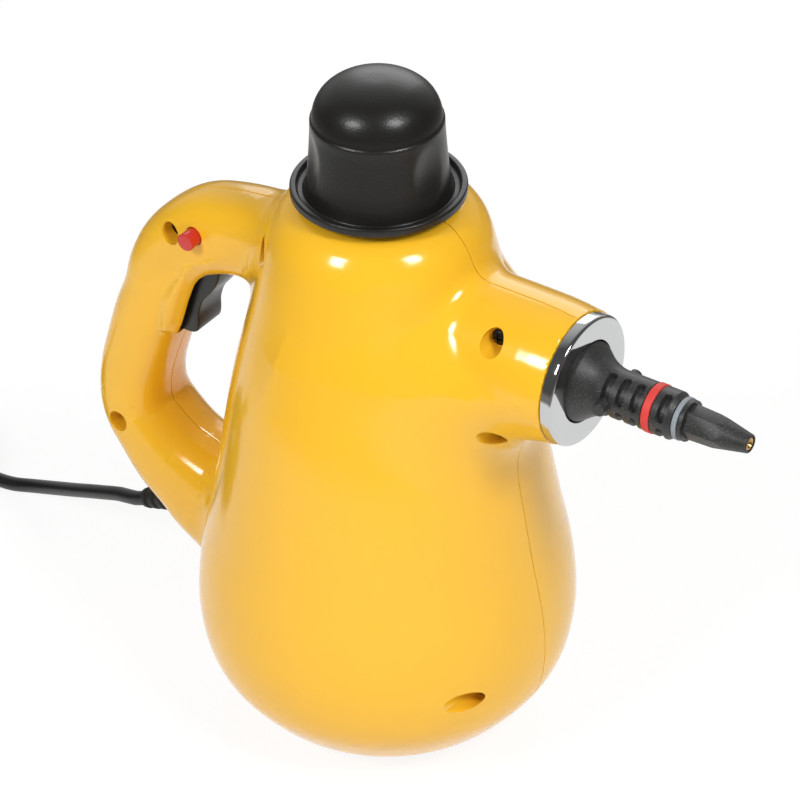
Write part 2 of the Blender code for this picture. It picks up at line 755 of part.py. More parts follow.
def housing():
    """Two moulded halves that meet on Y = 0 and clamp everything between them."""
    outer = outer_solid()
    far = 2 * BODY_RADIUS
    screws = screw_places()
    pivot = pivot_place()
    face = TRIGGER_WIDTH / 2 + 3 * CLEAR
    corner_x, corner_z = block_corner()
    relief_hole = turned(
        "hole", [(0, -SLEEVE_INNER), (SLEEVE_RADIUS + CLEAR, -SLEEVE_INNER),
                 (SLEEVE_RADIUS + CLEAR, SLEEVE_LENGTH), (0, SLEEVE_LENGTH)],
        sides=ROD_SIDES, frame=relief_frame(),
    )
    void = inner_void()
    shelf_z = corner_z - BLOCK_HEIGHT / 2 - CLEAR
    for name, side in (("housing_left", -1), ("housing_right", 1)):
        left = side < 0
        low = (-far, -far if left else -OVERRUN, shelf_z - SHELF_HEIGHT)
        high = (far, OVERRUN if left else far, shelf_z)
        shelf = block(
            "shelf", (corner_x, low[1], low[2]), (corner_x + BLOCK_LENGTH, high[1], high[2]),
        )
        boss_radius = SCREW_BORE_RADIUS + SCREW_BOSS_WALL if left else SCREW_CATCH_RADIUS
        bosses = [
            side_hole(place, boss_radius, -side * OVERRUN, side * far) for place, _ in screws
        ]
        bosses.append(side_hole(pivot, PIVOT_BOSS_RADIUS, side * face, side * far))
        bosses.append(shelf)
        space = combine(duplicate(void, "space"), join_apart("bosses", bosses), "DIFFERENCE")
        half = combine(duplicate(outer, name), space, "DIFFERENCE")
        near = side * SPLIT_GAP / 2
        low = (-2 * far, min(near, side * far), -OVERRUN)
        high = (2 * far, max(near, side * far), 2 * BODY_HEIGHT)
        combine(half, block("half", low, high), "INTERSECT")
        holes = [duplicate(relief_hole, "relief_hole")]
        for place, seat in screws:
            shank = SCREW_SHANK_RADIUS + CLEAR
            if left:
                holes.append(turned(
                    "bore", [(0, -OVERRUN), (shank, -OVERRUN), (shank, seat),
                             (SCREW_BORE_RADIUS, seat), (SCREW_BORE_RADIUS, far), (0, far)],
                    sides=HOLE_SIDES, frame=side_frame(place),
                ))
            else:
                holes.append(side_hole(place, shank, -OVERRUN, SCREW_BITE + 2 * CLEAR))
        holes.append(side_hole(pivot, PIVOT_PIN_RADIUS + CLEAR, side * (face - OVERRUN),
                               side * (PIVOT_PIN_HALF + CLEAR)))
        holes.append(side_hole(lock_place(), LOCK_RADIUS + CLEAR, 0, side * far))
        combine(half, join_apart("holes", holes), "DIFFERENCE")
        dress(half, yellow_plastic())
    for item in (void, outer, relief_hole):
        bpy.data.objects.remove(item, do_unlink=True)


def housing_screws():
    """Pan-head screws, each at the bottom of its bore."""
    for number, (place, seat) in enumerate(screw_places(), 1):
        head = seat + CLEAR
        top = head + SCREW_HEAD_HEIGHT
        outline = [
            (0, -SCREW_BITE), (SCREW_SHANK_RADIUS, -SCREW_BITE), (SCREW_SHANK_RADIUS, head),
            (SCREW_HEAD_RADIUS, head), (SCREW_HEAD_RADIUS - SCREW_HEAD_HEIGHT / 4, top), (0, top),
        ]
        turned(f"housing_screw_{number}", outline, steel(), HOLE_SIDES, side_frame(place))


def base_plate():
    """The disc that the cleaner stands on; its flange lies inside the housing."""
    flange_low = FOOT_LIFT + WALL + CLEAR
    flange_high = flange_low + BASE_FLANGE_HEIGHT
    outline = [
        (0, 0), (BASE_RADIUS - CLEAR, 0), (BASE_RADIUS, CLEAR), (BASE_RADIUS, flange_low),
        (BASE_RADIUS + BASE_FLANGE, flange_low), (BASE_RADIUS + BASE_FLANGE, flange_high),
        (0, flange_high),
    ]
    turned("base_plate", outline, black_plastic(), BODY_SIDES)
    return flange_high


def boiler_stand(floor):
    """A sheet-metal ring with feet, windows and a rim, between base plate and boiler."""
    low, high = floor + CLEAR, BOILER_BOTTOM - CLEAR
    radius = BOILER_RADIUS - STAND_INSET
    inner = radius - STAND_WALL
    foot = radius + STAND_FOOT
    outline = [
        (inner, low), (foot, low), (foot, low + STAND_WALL), (radius, low + STAND_WALL),
        (radius, high), (inner, high),
    ]
    stand = turned("boiler_stand", outline, sides=BOILER_SIDES, closed=True)
    windows = []
    for step in range(STAND_WINDOWS):
        angle = TAU * (step / STAND_WINDOWS + 0.5)
        window = block(
            "window", (0, -STAND_WINDOW / 2, low + 2 * STAND_FOOT),
            (2 * radius, STAND_WINDOW / 2, high - STAND_FOOT),
        )
        window.data.transform(Matrix.Rotation(angle, 4, "Z"))
        windows.append(window)
    cutter = windows[0]
    for window in windows[1:]:
        combine(cutter, window, "UNION")
    combine(stand, cutter, "DIFFERENCE")
    dress(stand, steel())


def boiler():
    """Lower and upper cups, the gasket between their flanges and the bolts."""
    inner = BOILER_RADIUS - BOILER_WALL
    rim = BOILER_RADIUS + FLANGE_WIDTH
    seam = BOILER_SEAM
    lower = [
        (0, BOILER_BOTTOM), (BOILER_RADIUS - BOILER_ROUND, BOILER_BOTTOM),
        (BOILER_RADIUS - BOILER_ROUND / 4, BOILER_BOTTOM + BOILER_ROUND / 4),
        (BOILER_RADIUS, BOILER_BOTTOM + BOILER_ROUND), (BOILER_RADIUS, seam - FLANGE_HEIGHT),
        (rim, seam - FLANGE_HEIGHT), (rim, seam), (inner, seam),
        (inner, BOILER_BOTTOM + BOILER_ROUND + BOILER_WALL / 4),
        (inner - BOILER_ROUND / 4, BOILER_BOTTOM + BOILER_ROUND / 4 + BOILER_WALL),
        (inner - BOILER_ROUND, BOILER_BOTTOM + BOILER_WALL), (0, BOILER_BOTTOM + BOILER_WALL),
    ]
    cup = turned("boiler_lower", lower, sides=BOILER_SIDES)
    gasket_low = seam + CLEAR
    gasket_high = gasket_low + GASKET_HEIGHT
    ring = [
        (inner, gasket_low), (inner + GASKET_WIDTH, gasket_low),
        (inner + GASKET_WIDTH, gasket_high), (inner, gasket_high),
    ]
    turned("boiler_gasket", ring, black_rubber(), BOILER_SIDES, closed=True)
    flange_low = gasket_high + CLEAR
    flange_high = flange_low + FLANGE_HEIGHT
    shoulder = BOILER_SEAM + BOILER_SHOULDER_SHARE * (BOILER_TOP - BOILER_SEAM)
    bend = (BOILER_TOP - shoulder) / 2
    upper = [
        (inner, flange_low), (rim, flange_low), (rim, flange_high),
        (BOILER_RADIUS, flange_high), (BOILER_RADIUS, shoulder),
        (BOILER_RADIUS - (BOILER_RADIUS - BOILER_TOP_RADIUS) / 3, shoulder + bend),
        (BOILER_TOP_RADIUS + BOILER_WALL, BOILER_TOP - BOILER_WALL),
        (BOILER_TOP_RADIUS, BOILER_TOP), (NECK_BORE, BOILER_TOP),
        (NECK_BORE, BOILER_TOP - BOILER_WALL),
        (BOILER_TOP_RADIUS - BOILER_WALL, BOILER_TOP - BOILER_WALL),
        (inner - (BOILER_RADIUS - BOILER_TOP_RADIUS) / 3, shoulder + bend - BOILER_WALL / 2),
        (inner, shoulder - BOILER_WALL / 2),
    ]
    dome = turned("boiler_upper", upper, sides=BOILER_SIDES, closed=True)
    holes = []
    circle = BOILER_RADIUS + FLANGE_WIDTH / 2 + BOLT_RADIUS / 3
    for step in range(BOLTS):
        angle = TAU * (step + 0.5) / BOLTS
        x, y = circle * math.cos(angle), circle * math.sin(angle)
        low, high = seam - FLANGE_HEIGHT, flange_high
        holes.append(rod("hole", (x, y, low - OVERRUN), (x, y, high + OVERRUN),
                         BOLT_RADIUS + CLEAR, sides=8))
        head = high + CLEAR
        outline = [
            (0, low - BOLT_TAIL), (BOLT_RADIUS, low - BOLT_TAIL), (BOLT_RADIUS, head),
            (BOLT_HEAD_RADIUS, head), (BOLT_HEAD_RADIUS, head + BOLT_HEAD_HEIGHT),
            (0, head + BOLT_HEAD_HEIGHT),
        ]
        turned(f"boiler_bolt_{step + 1}", outline, steel(), SMALL_ROD_SIDES, Matrix.Translation((x, y, 0)))
    cutter = join_apart("holes", holes)
    combine(cup, duplicate(cutter, "holes_below"), "DIFFERENCE")
    combine(dome, cutter, "DIFFERENCE")
    dress(cup, aluminium())
    dress(dome, aluminium())


def heater():
    """A ring heater, a thermostat and a fuse, all against the boiler."""
    centre = BOILER_BOTTOM - CLEAR - HEATER_TUBE
    ring = []
    for step in range(TUBE_SIDES):
        angle = TAU * step / TUBE_SIDES
        ring.append((HEATER_RADIUS + HEATER_TUBE * math.cos(angle),
                     centre + HEATER_TUBE * math.sin(angle)))
    turned("heating_element", ring, steel(), BOILER_SIDES, closed=True)
    top = BOILER_BOTTOM - CLEAR
    rod("thermostat", (0, 0, top - THERMOSTAT_HEIGHT), (0, 0, top), THERMOSTAT_RADIUS, steel(), BOILER_SIDES)
    x = -(BOILER_RADIUS + CLEAR + FUSE_RADIUS)
    z = FUSE_HEIGHT_SHARE * BODY_HEIGHT
    rod("thermal_fuse", (x, 0, z - FUSE_LENGTH / 2), (x, 0, z + FUSE_LENGTH / 2),
        FUSE_RADIUS, white_silicone(), HOLE_SIDES)
    return centre


def filler_neck():
    """A brass tube with a flange on the boiler; the housing clamps its top."""
    low = BOILER_TOP + CLEAR
    outline = [
        (NECK_BORE, low), (NECK_FLANGE_RADIUS, low),
        (NECK_FLANGE_RADIUS, low + NECK_FLANGE_HEIGHT), (NECK_RADIUS, low + NECK_FLANGE_HEIGHT),
        (NECK_RADIUS, NECK_TOP), (NECK_BORE, NECK_TOP),
    ]
    turned("filler_neck", outline, brass(), BOILER_SIDES, closed=True)


def filler_cap():
    """The outer cap: a saucer brim, a waisted barrel with grip pockets and a dome."""
    ridge = CAP_FOOT + CAP_RIDGE_RISE
    brim_top = CAP_FOOT + CAP_LIP_HEIGHT
    lip_inner = CAP_BRIM_RADIUS - CAP_LIP_WIDTH
    cavity = CAP_BARREL_RADIUS - CAP_WALL
    ceiling = ridge + CAP_DOME_RISE - CAP_DOME_WALL
    edge = CAP_GROOVE / 2
    outline = [
        (cavity, CAP_FOOT), (CAP_BRIM_RADIUS - edge, CAP_FOOT), (CAP_BRIM_RADIUS, CAP_FOOT + edge),
        (CAP_BRIM_RADIUS, brim_top - edge), (CAP_BRIM_RADIUS - edge, brim_top),
        (lip_inner + edge, brim_top), (lip_inner, brim_top - CAP_GROOVE),
    ]
    for wide, rise in CAP_FLARE_SHARES:
        outline.append((wide * CAP_BARREL_RADIUS, brim_top + rise * (ridge - brim_top)
                        - CAP_GROOVE * (1 - rise)))
    outline.append((CAP_BARREL_RADIUS, ridge - CAP_DOME_LIP))
    for wide, rise in CAP_DOME_SHARES:
        outline.append((wide * CAP_BARREL_RADIUS, ridge + rise * CAP_DOME_RISE))
    outline.append((0, ridge + CAP_DOME_RISE))
    sleeve_inner = CAP_SLEEVE_RADIUS - CAP_SLEEVE_WALL
    sleeve_low = CAP_FOOT + CAP_SLEEVE_RISE
    outline += [
        (0, ceiling), (sleeve_inner, ceiling), (sleeve_inner, sleeve_low),
        (CAP_SLEEVE_RADIUS, sleeve_low), (CAP_SLEEVE_RADIUS, ceiling),
        (cavity - CAP_WALL, ceiling), (cavity, ceiling - 2 * CAP_WALL),
        (cavity, CAP_FOOT),
    ]
    cap = turned("cap_outer", outline, sides=CAP_SIDES)
    pockets = []
    for turned_by in CAP_POCKET_TURNS:
        bm = bmesh.new()
        bmesh.ops.create_icosphere(bm, subdivisions=2, radius=1.0)
        size = Matrix.Diagonal((2 * CAP_POCKET_DEPTH, CAP_POCKET_WIDTH, CAP_POCKET_HEIGHT, 1))
        place = Matrix.Translation((CAP_POCKET_RADIUS + CAP_POCKET_DEPTH, 0, CAP_FOOT + CAP_POCKET_RISE))
        turn = Matrix.Rotation(math.radians(turned_by), 4, "Z")
        bmesh.ops.transform(bm, matrix=turn @ place @ size, verts=bm.verts)
        pockets.append(object_from(bm, "pocket"))
    combine(cap, join_apart("pockets", pockets), "DIFFERENCE")
    dress(cap, black_plastic())
    retainer_high = CORE_SEAT - CLEAR
    ring = [
        (RETAINER_BORE, retainer_high - RETAINER_HEIGHT), (cavity - CLEAR, retainer_high - RETAINER_HEIGHT),
        (cavity - CLEAR, retainer_high), (RETAINER_BORE, retainer_high),
    ]
    turned("cap_retainer", ring, black_plastic(), CAP_SIDES, closed=True)
    spring = helix(CAP_SPRING_RADIUS, CORE_DECK + CLEAR + CAP_SPRING_WIRE,
                   sleeve_low - CLEAR - CAP_SPRING_WIRE, CAP_SPRING_TURNS)
    curve_tube("cap_spring", spring, CAP_SPRING_WIRE, steel(), 0)


def cap_core():
    """The plug that screws into the neck, and the seal under its head."""
    plug = NECK_BORE - CLEAR
    post_top = CORE_DECK + CORE_POST_HEIGHT
    cup_floor = CORE_DECK + CORE_CUP_FLOOR
    outline = [
        (0, CORE_SEAT - PLUG_DEPTH), (plug, CORE_SEAT - PLUG_DEPTH), (plug, CORE_SEAT),
        (CORE_HEAD_RADIUS, CORE_SEAT), (CORE_HEAD_RADIUS, CORE_DECK),
        (CORE_POST_RADIUS, CORE_DECK), (CORE_POST_RADIUS, post_top),
        (CORE_CUP_RADIUS, post_top), (CORE_CUP_RADIUS, cup_floor), (0, cup_floor),
    ]
    turned("cap_core", outline, black_plastic(), BOILER_SIDES)
    ring = [
        (plug + 2 * CLEAR, NECK_TOP + CLEAR), (NECK_RADIUS, NECK_TOP + CLEAR),
        (NECK_RADIUS, NECK_TOP + CLEAR + SEAL_HEIGHT), (plug + 2 * CLEAR, NECK_TOP + CLEAR + SEAL_HEIGHT),
    ]
    turned("cap_gasket", ring, black_rubber(), BOILER_SIDES, closed=True)


def snout_ring():
    """The chromed ring on the snout; its spigot sits in the front wall's hole."""
    back = CLEAR
    face = back + RING_THICKNESS
    spigot = RING_BORE + RING_SPIGOT_WALL
    outline = [
        (RING_BORE, back - WALL), (spigot, back - WALL), (spigot, back), (RING_RADIUS, back),
        (RING_RADIUS, face - RING_ROUND), (RING_RADIUS - RING_ROUND / 3, face - RING_ROUND / 3),
        (RING_RADIUS - RING_ROUND, face), (RING_BORE, face),
    ]
    turned("snout_ring", outline, chrome(), NOZZLE_SIDES, along_x(SNOUT_LENGTH, SNOUT_AXIS), True)


def ring_groove(centre, width, depth_radius, outer_radius):
    """Four outline points of a groove round the nozzle."""
    return [
        (outer_radius, centre - width / 2), (depth_radius, centre - width / 2),
        (depth_radius, centre + width / 2), (outer_radius, centre + width / 2),
    ]


def nozzle():
    """The bayonet nozzle: bell, slotted barrel, seals, pins and a six-sided tip."""
    root = NOZZLE_ROOT_SHARE * NOZZLE_RADIUS
    wall_back = -(RING_THICKNESS + CLEAR + WALL + CLEAR)
    flange_back = wall_back - NOZZLE_FLANGE_WIDTH
    tail = -NOZZLE_TAIL_LENGTH
    hub = -(NOZZLE_HUB_LENGTH + NOZZLE_FLANGE_WIDTH)
    seal_floor = NOZZLE_RADIUS - SEAL_GROOVE_DEPTH
    small_floor = SMALL_SEAL_RADIUS - SEAL_GROOVE_DEPTH
    outline = [
        (NOZZLE_BORE, tail), (NOZZLE_TAIL_RADIUS, tail), (NOZZLE_TAIL_RADIUS, hub),
        (NOZZLE_HUB_RADIUS, hub), (NOZZLE_HUB_RADIUS, flange_back),
        (NOZZLE_FLANGE_RADIUS, flange_back), (NOZZLE_FLANGE_RADIUS, wall_back), (root, wall_back),
    ]
    outline += [(wide * NOZZLE_RADIUS, along * NOZZLE_LENGTH) for along, wide in NOZZLE_BELL_SHARES]
    seal_centre = SEAL_CENTRE_SHARE * NOZZLE_LENGTH
    small_centre = SMALL_SEAL_CENTRE_SHARE * NOZZLE_LENGTH
    outline += ring_groove(seal_centre, SEAL_WIDTH + 2 * CLEAR, seal_floor, NOZZLE_RADIUS)
    outline += [(wide * NOZZLE_RADIUS, along * NOZZLE_LENGTH) for along, wide in NOZZLE_CONE_SHARES]
    outline += ring_groove(small_centre, SMALL_SEAL_WIDTH + 2 * CLEAR, small_floor, SMALL_SEAL_RADIUS)
    cone_big, cone_small = (share * NOZZLE_RADIUS for share in CONE_RADIUS_SHARES)
    cone_start = CONE_START_SHARE * NOZZLE_LENGTH
    seat = INSERT_RADIUS + CLEAR
    outline += [
        (cone_big, cone_start), (cone_small, NOZZLE_LENGTH), (seat, NOZZLE_LENGTH),
        (seat, NOZZLE_LENGTH - INSERT_LENGTH), (NOZZLE_BORE, NOZZLE_LENGTH - INSERT_LENGTH),
    ]
    frame = along_x(RING_FACE, SNOUT_AXIS)
    body = turned("nozzle_body", outline, sides=NOZZLE_SIDES, frame=frame, closed=True)
    combine(body, join_apart("slots", nozzle_slots(frame)), "DIFFERENCE")
    combine(body, join_apart("flats", nozzle_flats(frame, cone_start, cone_big)), "DIFFERENCE")
    pins = rod("pins", (PIN_SHARE * NOZZLE_LENGTH + RING_FACE, -PIN_REACH, SNOUT_AXIS),
               (PIN_SHARE * NOZZLE_LENGTH + RING_FACE, PIN_REACH, SNOUT_AXIS), PIN_RADIUS,
               sides=BAYONET_SIDES)
    core = turned(
        "core", [(0, 0), (seal_floor, 0), (seal_floor, NOZZLE_LENGTH / 2), (0, NOZZLE_LENGTH / 2)],
        sides=NOZZLE_SIDES, frame=frame,
    )
    combine(pins, core, "DIFFERENCE")
    combine(body, pins, "UNION")
    dress(body, black_plastic())
    seal_ring("red_seal_ring", seal_centre, SEAL_WIDTH, seal_floor + CLEAR,
              NOZZLE_RADIUS + CLEAR, red_rubber(), frame)
    seal_ring("grey_seal_ring", small_centre, SMALL_SEAL_WIDTH, small_floor + CLEAR,
              SMALL_SEAL_RADIUS, grey_rubber(), frame)
    insert_low = NOZZLE_LENGTH - INSERT_LENGTH + CLEAR
    insert = [
        (INSERT_BORE, insert_low), (INSERT_RADIUS, insert_low), (INSERT_RADIUS, NOZZLE_LENGTH - CLEAR),
        (INSERT_BORE, NOZZLE_LENGTH - CLEAR),
    ]
    turned("nozzle_insert", insert, brass(), ROD_SIDES, frame, True)


def nozzle_slots(frame):
    """Cutters for the slots: short arcs in four rows, four to a row."""
    slots = []
    floor = NOZZLE_RADIUS - SLOT_DEPTH
    for row in SLOT_ROW_SHARES:
        low = row * NOZZLE_LENGTH - SLOT_WIDTH / 2
        for quarter in range(SLOTS_ROUND):
            middle = TAU * (quarter + 0.5) / SLOTS_ROUND
            start = middle - math.radians(SLOT_SPAN) / 2
            rings = []
            for step in range(SLOT_STEPS + 1):
                angle = start + math.radians(SLOT_SPAN) * step / SLOT_STEPS
                out = Vector((math.cos(angle), math.sin(angle), 0))
                corners = [
                    out * floor + Vector((0, 0, low)),
                    out * (floor + OVERRUN) + Vector((0, 0, low)),
                    out * (floor + OVERRUN) + Vector((0, 0, low + SLOT_WIDTH)),
                    out * floor + Vector((0, 0, low + SLOT_WIDTH)),
                ]
                rings.append([frame @ corner for corner in corners])
            slots.append(loft("slot", rings))
    return slots


def nozzle_flats(frame, start, radius):
    """Cutters for the six flats on the tip."""
    flats = []
    half = FLAT_DISTANCE * math.tan(math.pi / FLATS)
    for step in range(FLATS):
        cutter = block(
            "flat", (FLAT_DISTANCE, -half + CLEAR / 10, start + CLEAR),
            (radius + OVERRUN, half - CLEAR / 10, NOZZLE_LENGTH),
        )
        cutter.data.transform(frame @ Matrix.Rotation(TAU * step / FLATS, 4, "Z"))
        flats.append(cutter)
    return flats


def seal_ring(name, centre, width, inner, outer, finish, frame):
    """An O-ring with a rounded section."""
    edge = width / 4
    low, high = centre - width / 2, centre + width / 2
    outline = [
        (inner, low), (outer - edge, low), (outer, low + 2 * edge), (outer - edge, high),
        (inner, high),
    ]
    turned(name, outline, finish, NOZZLE_SIDES, frame, True)


def trigger():
    """The trigger on its pin: a hollow-backed lever whose arm pushes the valve stem."""
    pivot_x, pivot_z = pivot_place()
    hub = TRIGGER_HUB_RADIUS
    profile = handle_outline(TRIGGER_FRONT_SHARES)
    lever = [
        (pivot_x - LEVER_BACK, pivot_z + LEVER_LENGTH + LEVER_TIP),
        (pivot_x + LEVER_FRONT, pivot_z + LEVER_LENGTH + LEVER_TIP),
        (pivot_x + LEVER_FRONT, pivot_z),
    ]
    made = prism("trigger", profile + lever, TRIGGER_WIDTH / 2)
    edge = made.modifiers.new("edges", "BEVEL")
    edge.width = TRIGGER_EDGE
    edge.segments = 1
    edge.limit_method = "ANGLE"
    edge.angle_limit = math.radians(60)
    graph = bpy.context.evaluated_depsgraph_get()
    made.data = bpy.data.meshes.new_from_object(made.evaluated_get(graph))
    made.modifiers.clear()
    inner_half = TRIGGER_WIDTH / 2 - POCKET_WALL
    back = [handle_place(pair) for pair in TRIGGER_FRONT_SHARES[-4:]]
    front = [(x - POCKET_WALL - hub, z) for x, z in handle_outline(TRIGGER_FRONT_SHARES[2:6])]
    pocket = [
        (back[0][0] - OVERRUN, back[0][1] + POCKET_WALL), (front[3][0], back[0][1] + 2 * POCKET_WALL),
        front[3], front[2], front[1], front[0],
        (back[3][0] - 2 * hub, back[3][1] - hub),
    ]
    combine(made, prism("pocket", pocket, inner_half), "DIFFERENCE")
    spring_end = TRIGGER_WIDTH / 2
    spring_start = spring_end - (TORSION_TURNS + 2) * 2 * TORSION_WIRE
    room = turned(
        "room", [(0, spring_start), (hub + 2 * CLEAR, spring_start),
                 (hub + 2 * CLEAR, spring_end + OVERRUN), (0, spring_end + OVERRUN)],
        sides=BOILER_SIDES, frame=Matrix.Translation((pivot_x, 0, pivot_z)) @ rotation_to((0, 1, 0)),
    )
    combine(made, room, "DIFFERENCE")
    bore = side_hole((pivot_x, pivot_z), PIVOT_PIN_RADIUS + CLEAR, -TRIGGER_WIDTH, TRIGGER_WIDTH, ROD_SIDES)
    combine(made, bore, "DIFFERENCE")
    made.data.transform(Matrix.Translation((-pivot_x, 0, -pivot_z)))
    made.location = (pivot_x, 0, pivot_z)
    dress(made, black_plastic())
    pin = [(pivot_x, -PIVOT_PIN_HALF, pivot_z), (pivot_x, PIVOT_PIN_HALF, pivot_z)]
    rod("trigger_pin", pin[0], pin[1], PIVOT_PIN_RADIUS, steel())
    low = spring_start + CLEAR + TORSION_WIRE
    line = helix(TORSION_RADIUS - TORSION_WIRE, low, low + TORSION_TURNS * TORSION_PITCH_SHARE * TORSION_WIRE,
                 TORSION_TURNS)
    turn = Matrix.Translation((pivot_x, 0, pivot_z)) @ rotation_to((0, 1, 0))
    curve_tube("trigger_spring", [turn @ point for point in line], TORSION_WIRE, steel(), 0)


def lock_button():
    """A bolt across the handle: pushed to +Y it would block the trigger's arm."""
    x, z = lock_place()
    half = LOCK_HALF
    edge = 2 * CLEAR
    outline = [
        (0, -half), (LOCK_RADIUS - edge, -half), (LOCK_RADIUS, -half + edge),
        (LOCK_RADIUS, -LOCK_WAIST_HALF), (LOCK_WAIST_RADIUS, -LOCK_WAIST_HALF),
        (LOCK_WAIST_RADIUS, LOCK_WAIST_HALF), (LOCK_RADIUS, LOCK_WAIST_HALF),
        (LOCK_RADIUS, half + LOCK_TRAVEL - edge), (LOCK_RADIUS - edge, half + LOCK_TRAVEL),
        (0, half + LOCK_TRAVEL),
    ]
    made = turned("lock_button", outline, red_plastic(), ROD_SIDES, rotation_to((0, -1, 0)))
    made.location = (x, 0, z)


def steam_path():
    """Valve, its stem, the riser from the boiler and the hose to the nozzle."""
    pivot_x, pivot_z = pivot_place()
    height = pivot_z + LEVER_LENGTH
    bore = VALVE_BORE_RADIUS
    outline = [
        (0, VALVE_LENGTH), (VALVE_END_RADIUS, VALVE_LENGTH), (VALVE_RADIUS, VALVE_LENGTH - VALVE_EDGE),
        (VALVE_RADIUS, VALVE_EDGE), (VALVE_END_RADIUS, 0), (bore, 0), (bore, VALVE_BORE_DEPTH),
        (0, VALVE_BORE_DEPTH),
    ]
    turned("steam_valve_body", outline, brass(), BOILER_SIDES, along_x(-VALVE_START, height))
    stem_start = pivot_x + LEVER_FRONT + CLEAR
    stem = rod("valve_stem", (0, 0, 0), (STEM_LENGTH, 0, 0), STEM_RADIUS, steel())
    stem.location = (stem_start, 0, height)
    top = height - VALVE_RADIUS - CLEAR
    start = -(BOILER_RADIUS + CLEAR)
    inlet = -VALVE_START + VALVE_INLET_SHARE * VALVE_LENGTH
    line = [
        Vector((start + out * (inlet - start), 0, rise * BODY_HEIGHT))
        for out, rise in RISER_SHARES
    ]
    line.append(Vector((line[-1].x, 0, top)))
    curve_tube("steam_pipe", line, RISER_RADIUS, brass(), 2)
    first = -VALVE_START + VALVE_LENGTH + CLEAR
    last = RING_FACE - NOZZLE_TAIL_LENGTH - CLEAR
    swing = NECK_RADIUS + HOSE_RADIUS + HOSE_GAP
    fall = height - SNOUT_AXIS
    points = [(first + lead, 0, height) for lead in (0, HOSE_LEAD / 2, HOSE_LEAD)]
    for turn, rise in HOSE_TURNS:
        angle = math.radians(turn)
        points.append((swing * math.cos(angle), swing * math.sin(angle), SNOUT_AXIS + rise * fall))
    for along, rise, out in HOSE_END_SHARES:
        points.append((first + along * (last - first), out * swing, SNOUT_AXIS + rise * fall))
    points.append((last, 0, SNOUT_AXIS))
    curve_tube("steam_hose", smooth_line(points, 2), HOSE_RADIUS, black_rubber(), 1)


def cord_entry(heater_height):
    """Strain relief, the cord's inner end, the terminal block and two wires."""
    frame = relief_frame()
    outline = [
        (0, -SLEEVE_INNER - SLEEVE_FLANGE_WIDTH), (SLEEVE_FLANGE, -SLEEVE_INNER - SLEEVE_FLANGE_WIDTH),
        (SLEEVE_FLANGE, -SLEEVE_INNER), (SLEEVE_RADIUS, -SLEEVE_INNER),
    ]
    groove_start = SLEEVE_LENGTH - SLEEVE_GROOVES * SLEEVE_PITCH - SLEEVE_PITCH / 2
    outline.append((SLEEVE_RADIUS, groove_start - SLEEVE_PITCH / 2))
    for step in range(SLEEVE_GROOVES):
        low = groove_start + step * SLEEVE_PITCH
        share = (low - groove_start) / (SLEEVE_LENGTH - groove_start)
        radius = SLEEVE_RADIUS + (SLEEVE_TIP_RADIUS - SLEEVE_RADIUS) * share
        outline += [
            (radius, low), (radius - SLEEVE_GROOVE, low + SLEEVE_PITCH / 8),
            (radius - SLEEVE_GROOVE, low + SLEEVE_PITCH * 3 / 8), (radius, low + SLEEVE_PITCH / 2),
        ]
    outline += [(SLEEVE_TIP_RADIUS, SLEEVE_LENGTH), (0, SLEEVE_LENGTH)]
    turned("strain_relief", outline, black_rubber(), HOLE_SIDES, frame)
    inner = frame @ Vector((0, 0, -SLEEVE_INNER - SLEEVE_FLANGE_WIDTH - CLEAR))
    corner_x, corner_z = block_corner()
    back = frame.to_3x3() @ Vector((0, 0, -1))
    line = [inner, inner + back * BLOCK_GAP / 4, inner + back * BLOCK_GAP / 2]
    line.append(Vector((corner_x - CLEAR - BLOCK_GAP / 4, 0, corner_z)))
    line.append(Vector((corner_x - CLEAR, 0, corner_z)))
    curve_tube("cord_inner_end", line, CORD_RADIUS - CLEAR, black_rubber(), 2)
    low_z = corner_z - BLOCK_HEIGHT / 2
    block("terminal_block", (corner_x, -BLOCK_WIDTH / 2, low_z),
          (corner_x + BLOCK_LENGTH, BLOCK_WIDTH / 2, low_z + BLOCK_HEIGHT), white_silicone())
    start_x = corner_x + BLOCK_LENGTH + CLEAR
    for name, side in (("live_wire", -1), ("neutral_wire", 1)):
        y = side * WIRE_SPACING
        reach = math.sqrt((HEATER_RADIUS + HEATER_TUBE) ** 2 - y * y)
        end = Vector((-reach - CLEAR - WIRE_RADIUS / 4, y, heater_height))
        start = Vector((start_x, y, corner_z))
        middle = Vector(((start.x + end.x) / 2, y, (start.z + end.z) / 2))
        ahead = Vector(((end.x - start.x) / 4, 0, 0))
        curve_tube(name, smooth_line([start, start + ahead, middle, end - ahead, end], 2),
                   WIRE_RADIUS, white_silicone(), 0)


def coil_layout(exit_point):
    """The coil's line: it spirals in and out at a steady rate and climbs at each turn-back."""
    passes = COIL_PASSES
    centre = Vector((exit_point.x - COIL_BEHIND, -COIL_ASIDE))
    count = round(passes * COIL_PASS_TURNS * COIL_TURN_POINTS)
    outer = COIL_INNER + COIL_PASS_TURNS * COIL_PITCH
    line = []
    for step in range(count + 1):
        turns = step / COIL_TURN_POINTS
        done = turns / COIL_PASS_TURNS
        inward = done % 2
        share = inward if inward <= 1 else 2 - inward
        radius = outer - share * (outer - COIL_INNER)
        layer = 0.0
        for change in range(1, passes):
            from_change = turns - change * COIL_PASS_TURNS
            layer += min(max(from_change / COIL_CLIMB_TURNS + 0.5, 0.0), 1.0)
        angle = math.radians(COIL_START) + TAU * turns
        height = CORD_RADIUS + COIL_LIFT + layer * COIL_PITCH
        line.append(Vector((centre.x + radius * math.cos(angle),
                            centre.y + radius * math.sin(angle), height)))
    return line


def least_gap(line, radius):
    """The least clear distance between neighbouring turns of a wound line."""
    apart = round(COIL_TURN_POINTS / 2)
    least = math.inf
    for here in range(len(line)):
        for there in range(here + apart, len(line)):
            least = min(least, (line[here] - line[there]).length)
    return least - 2 * radius


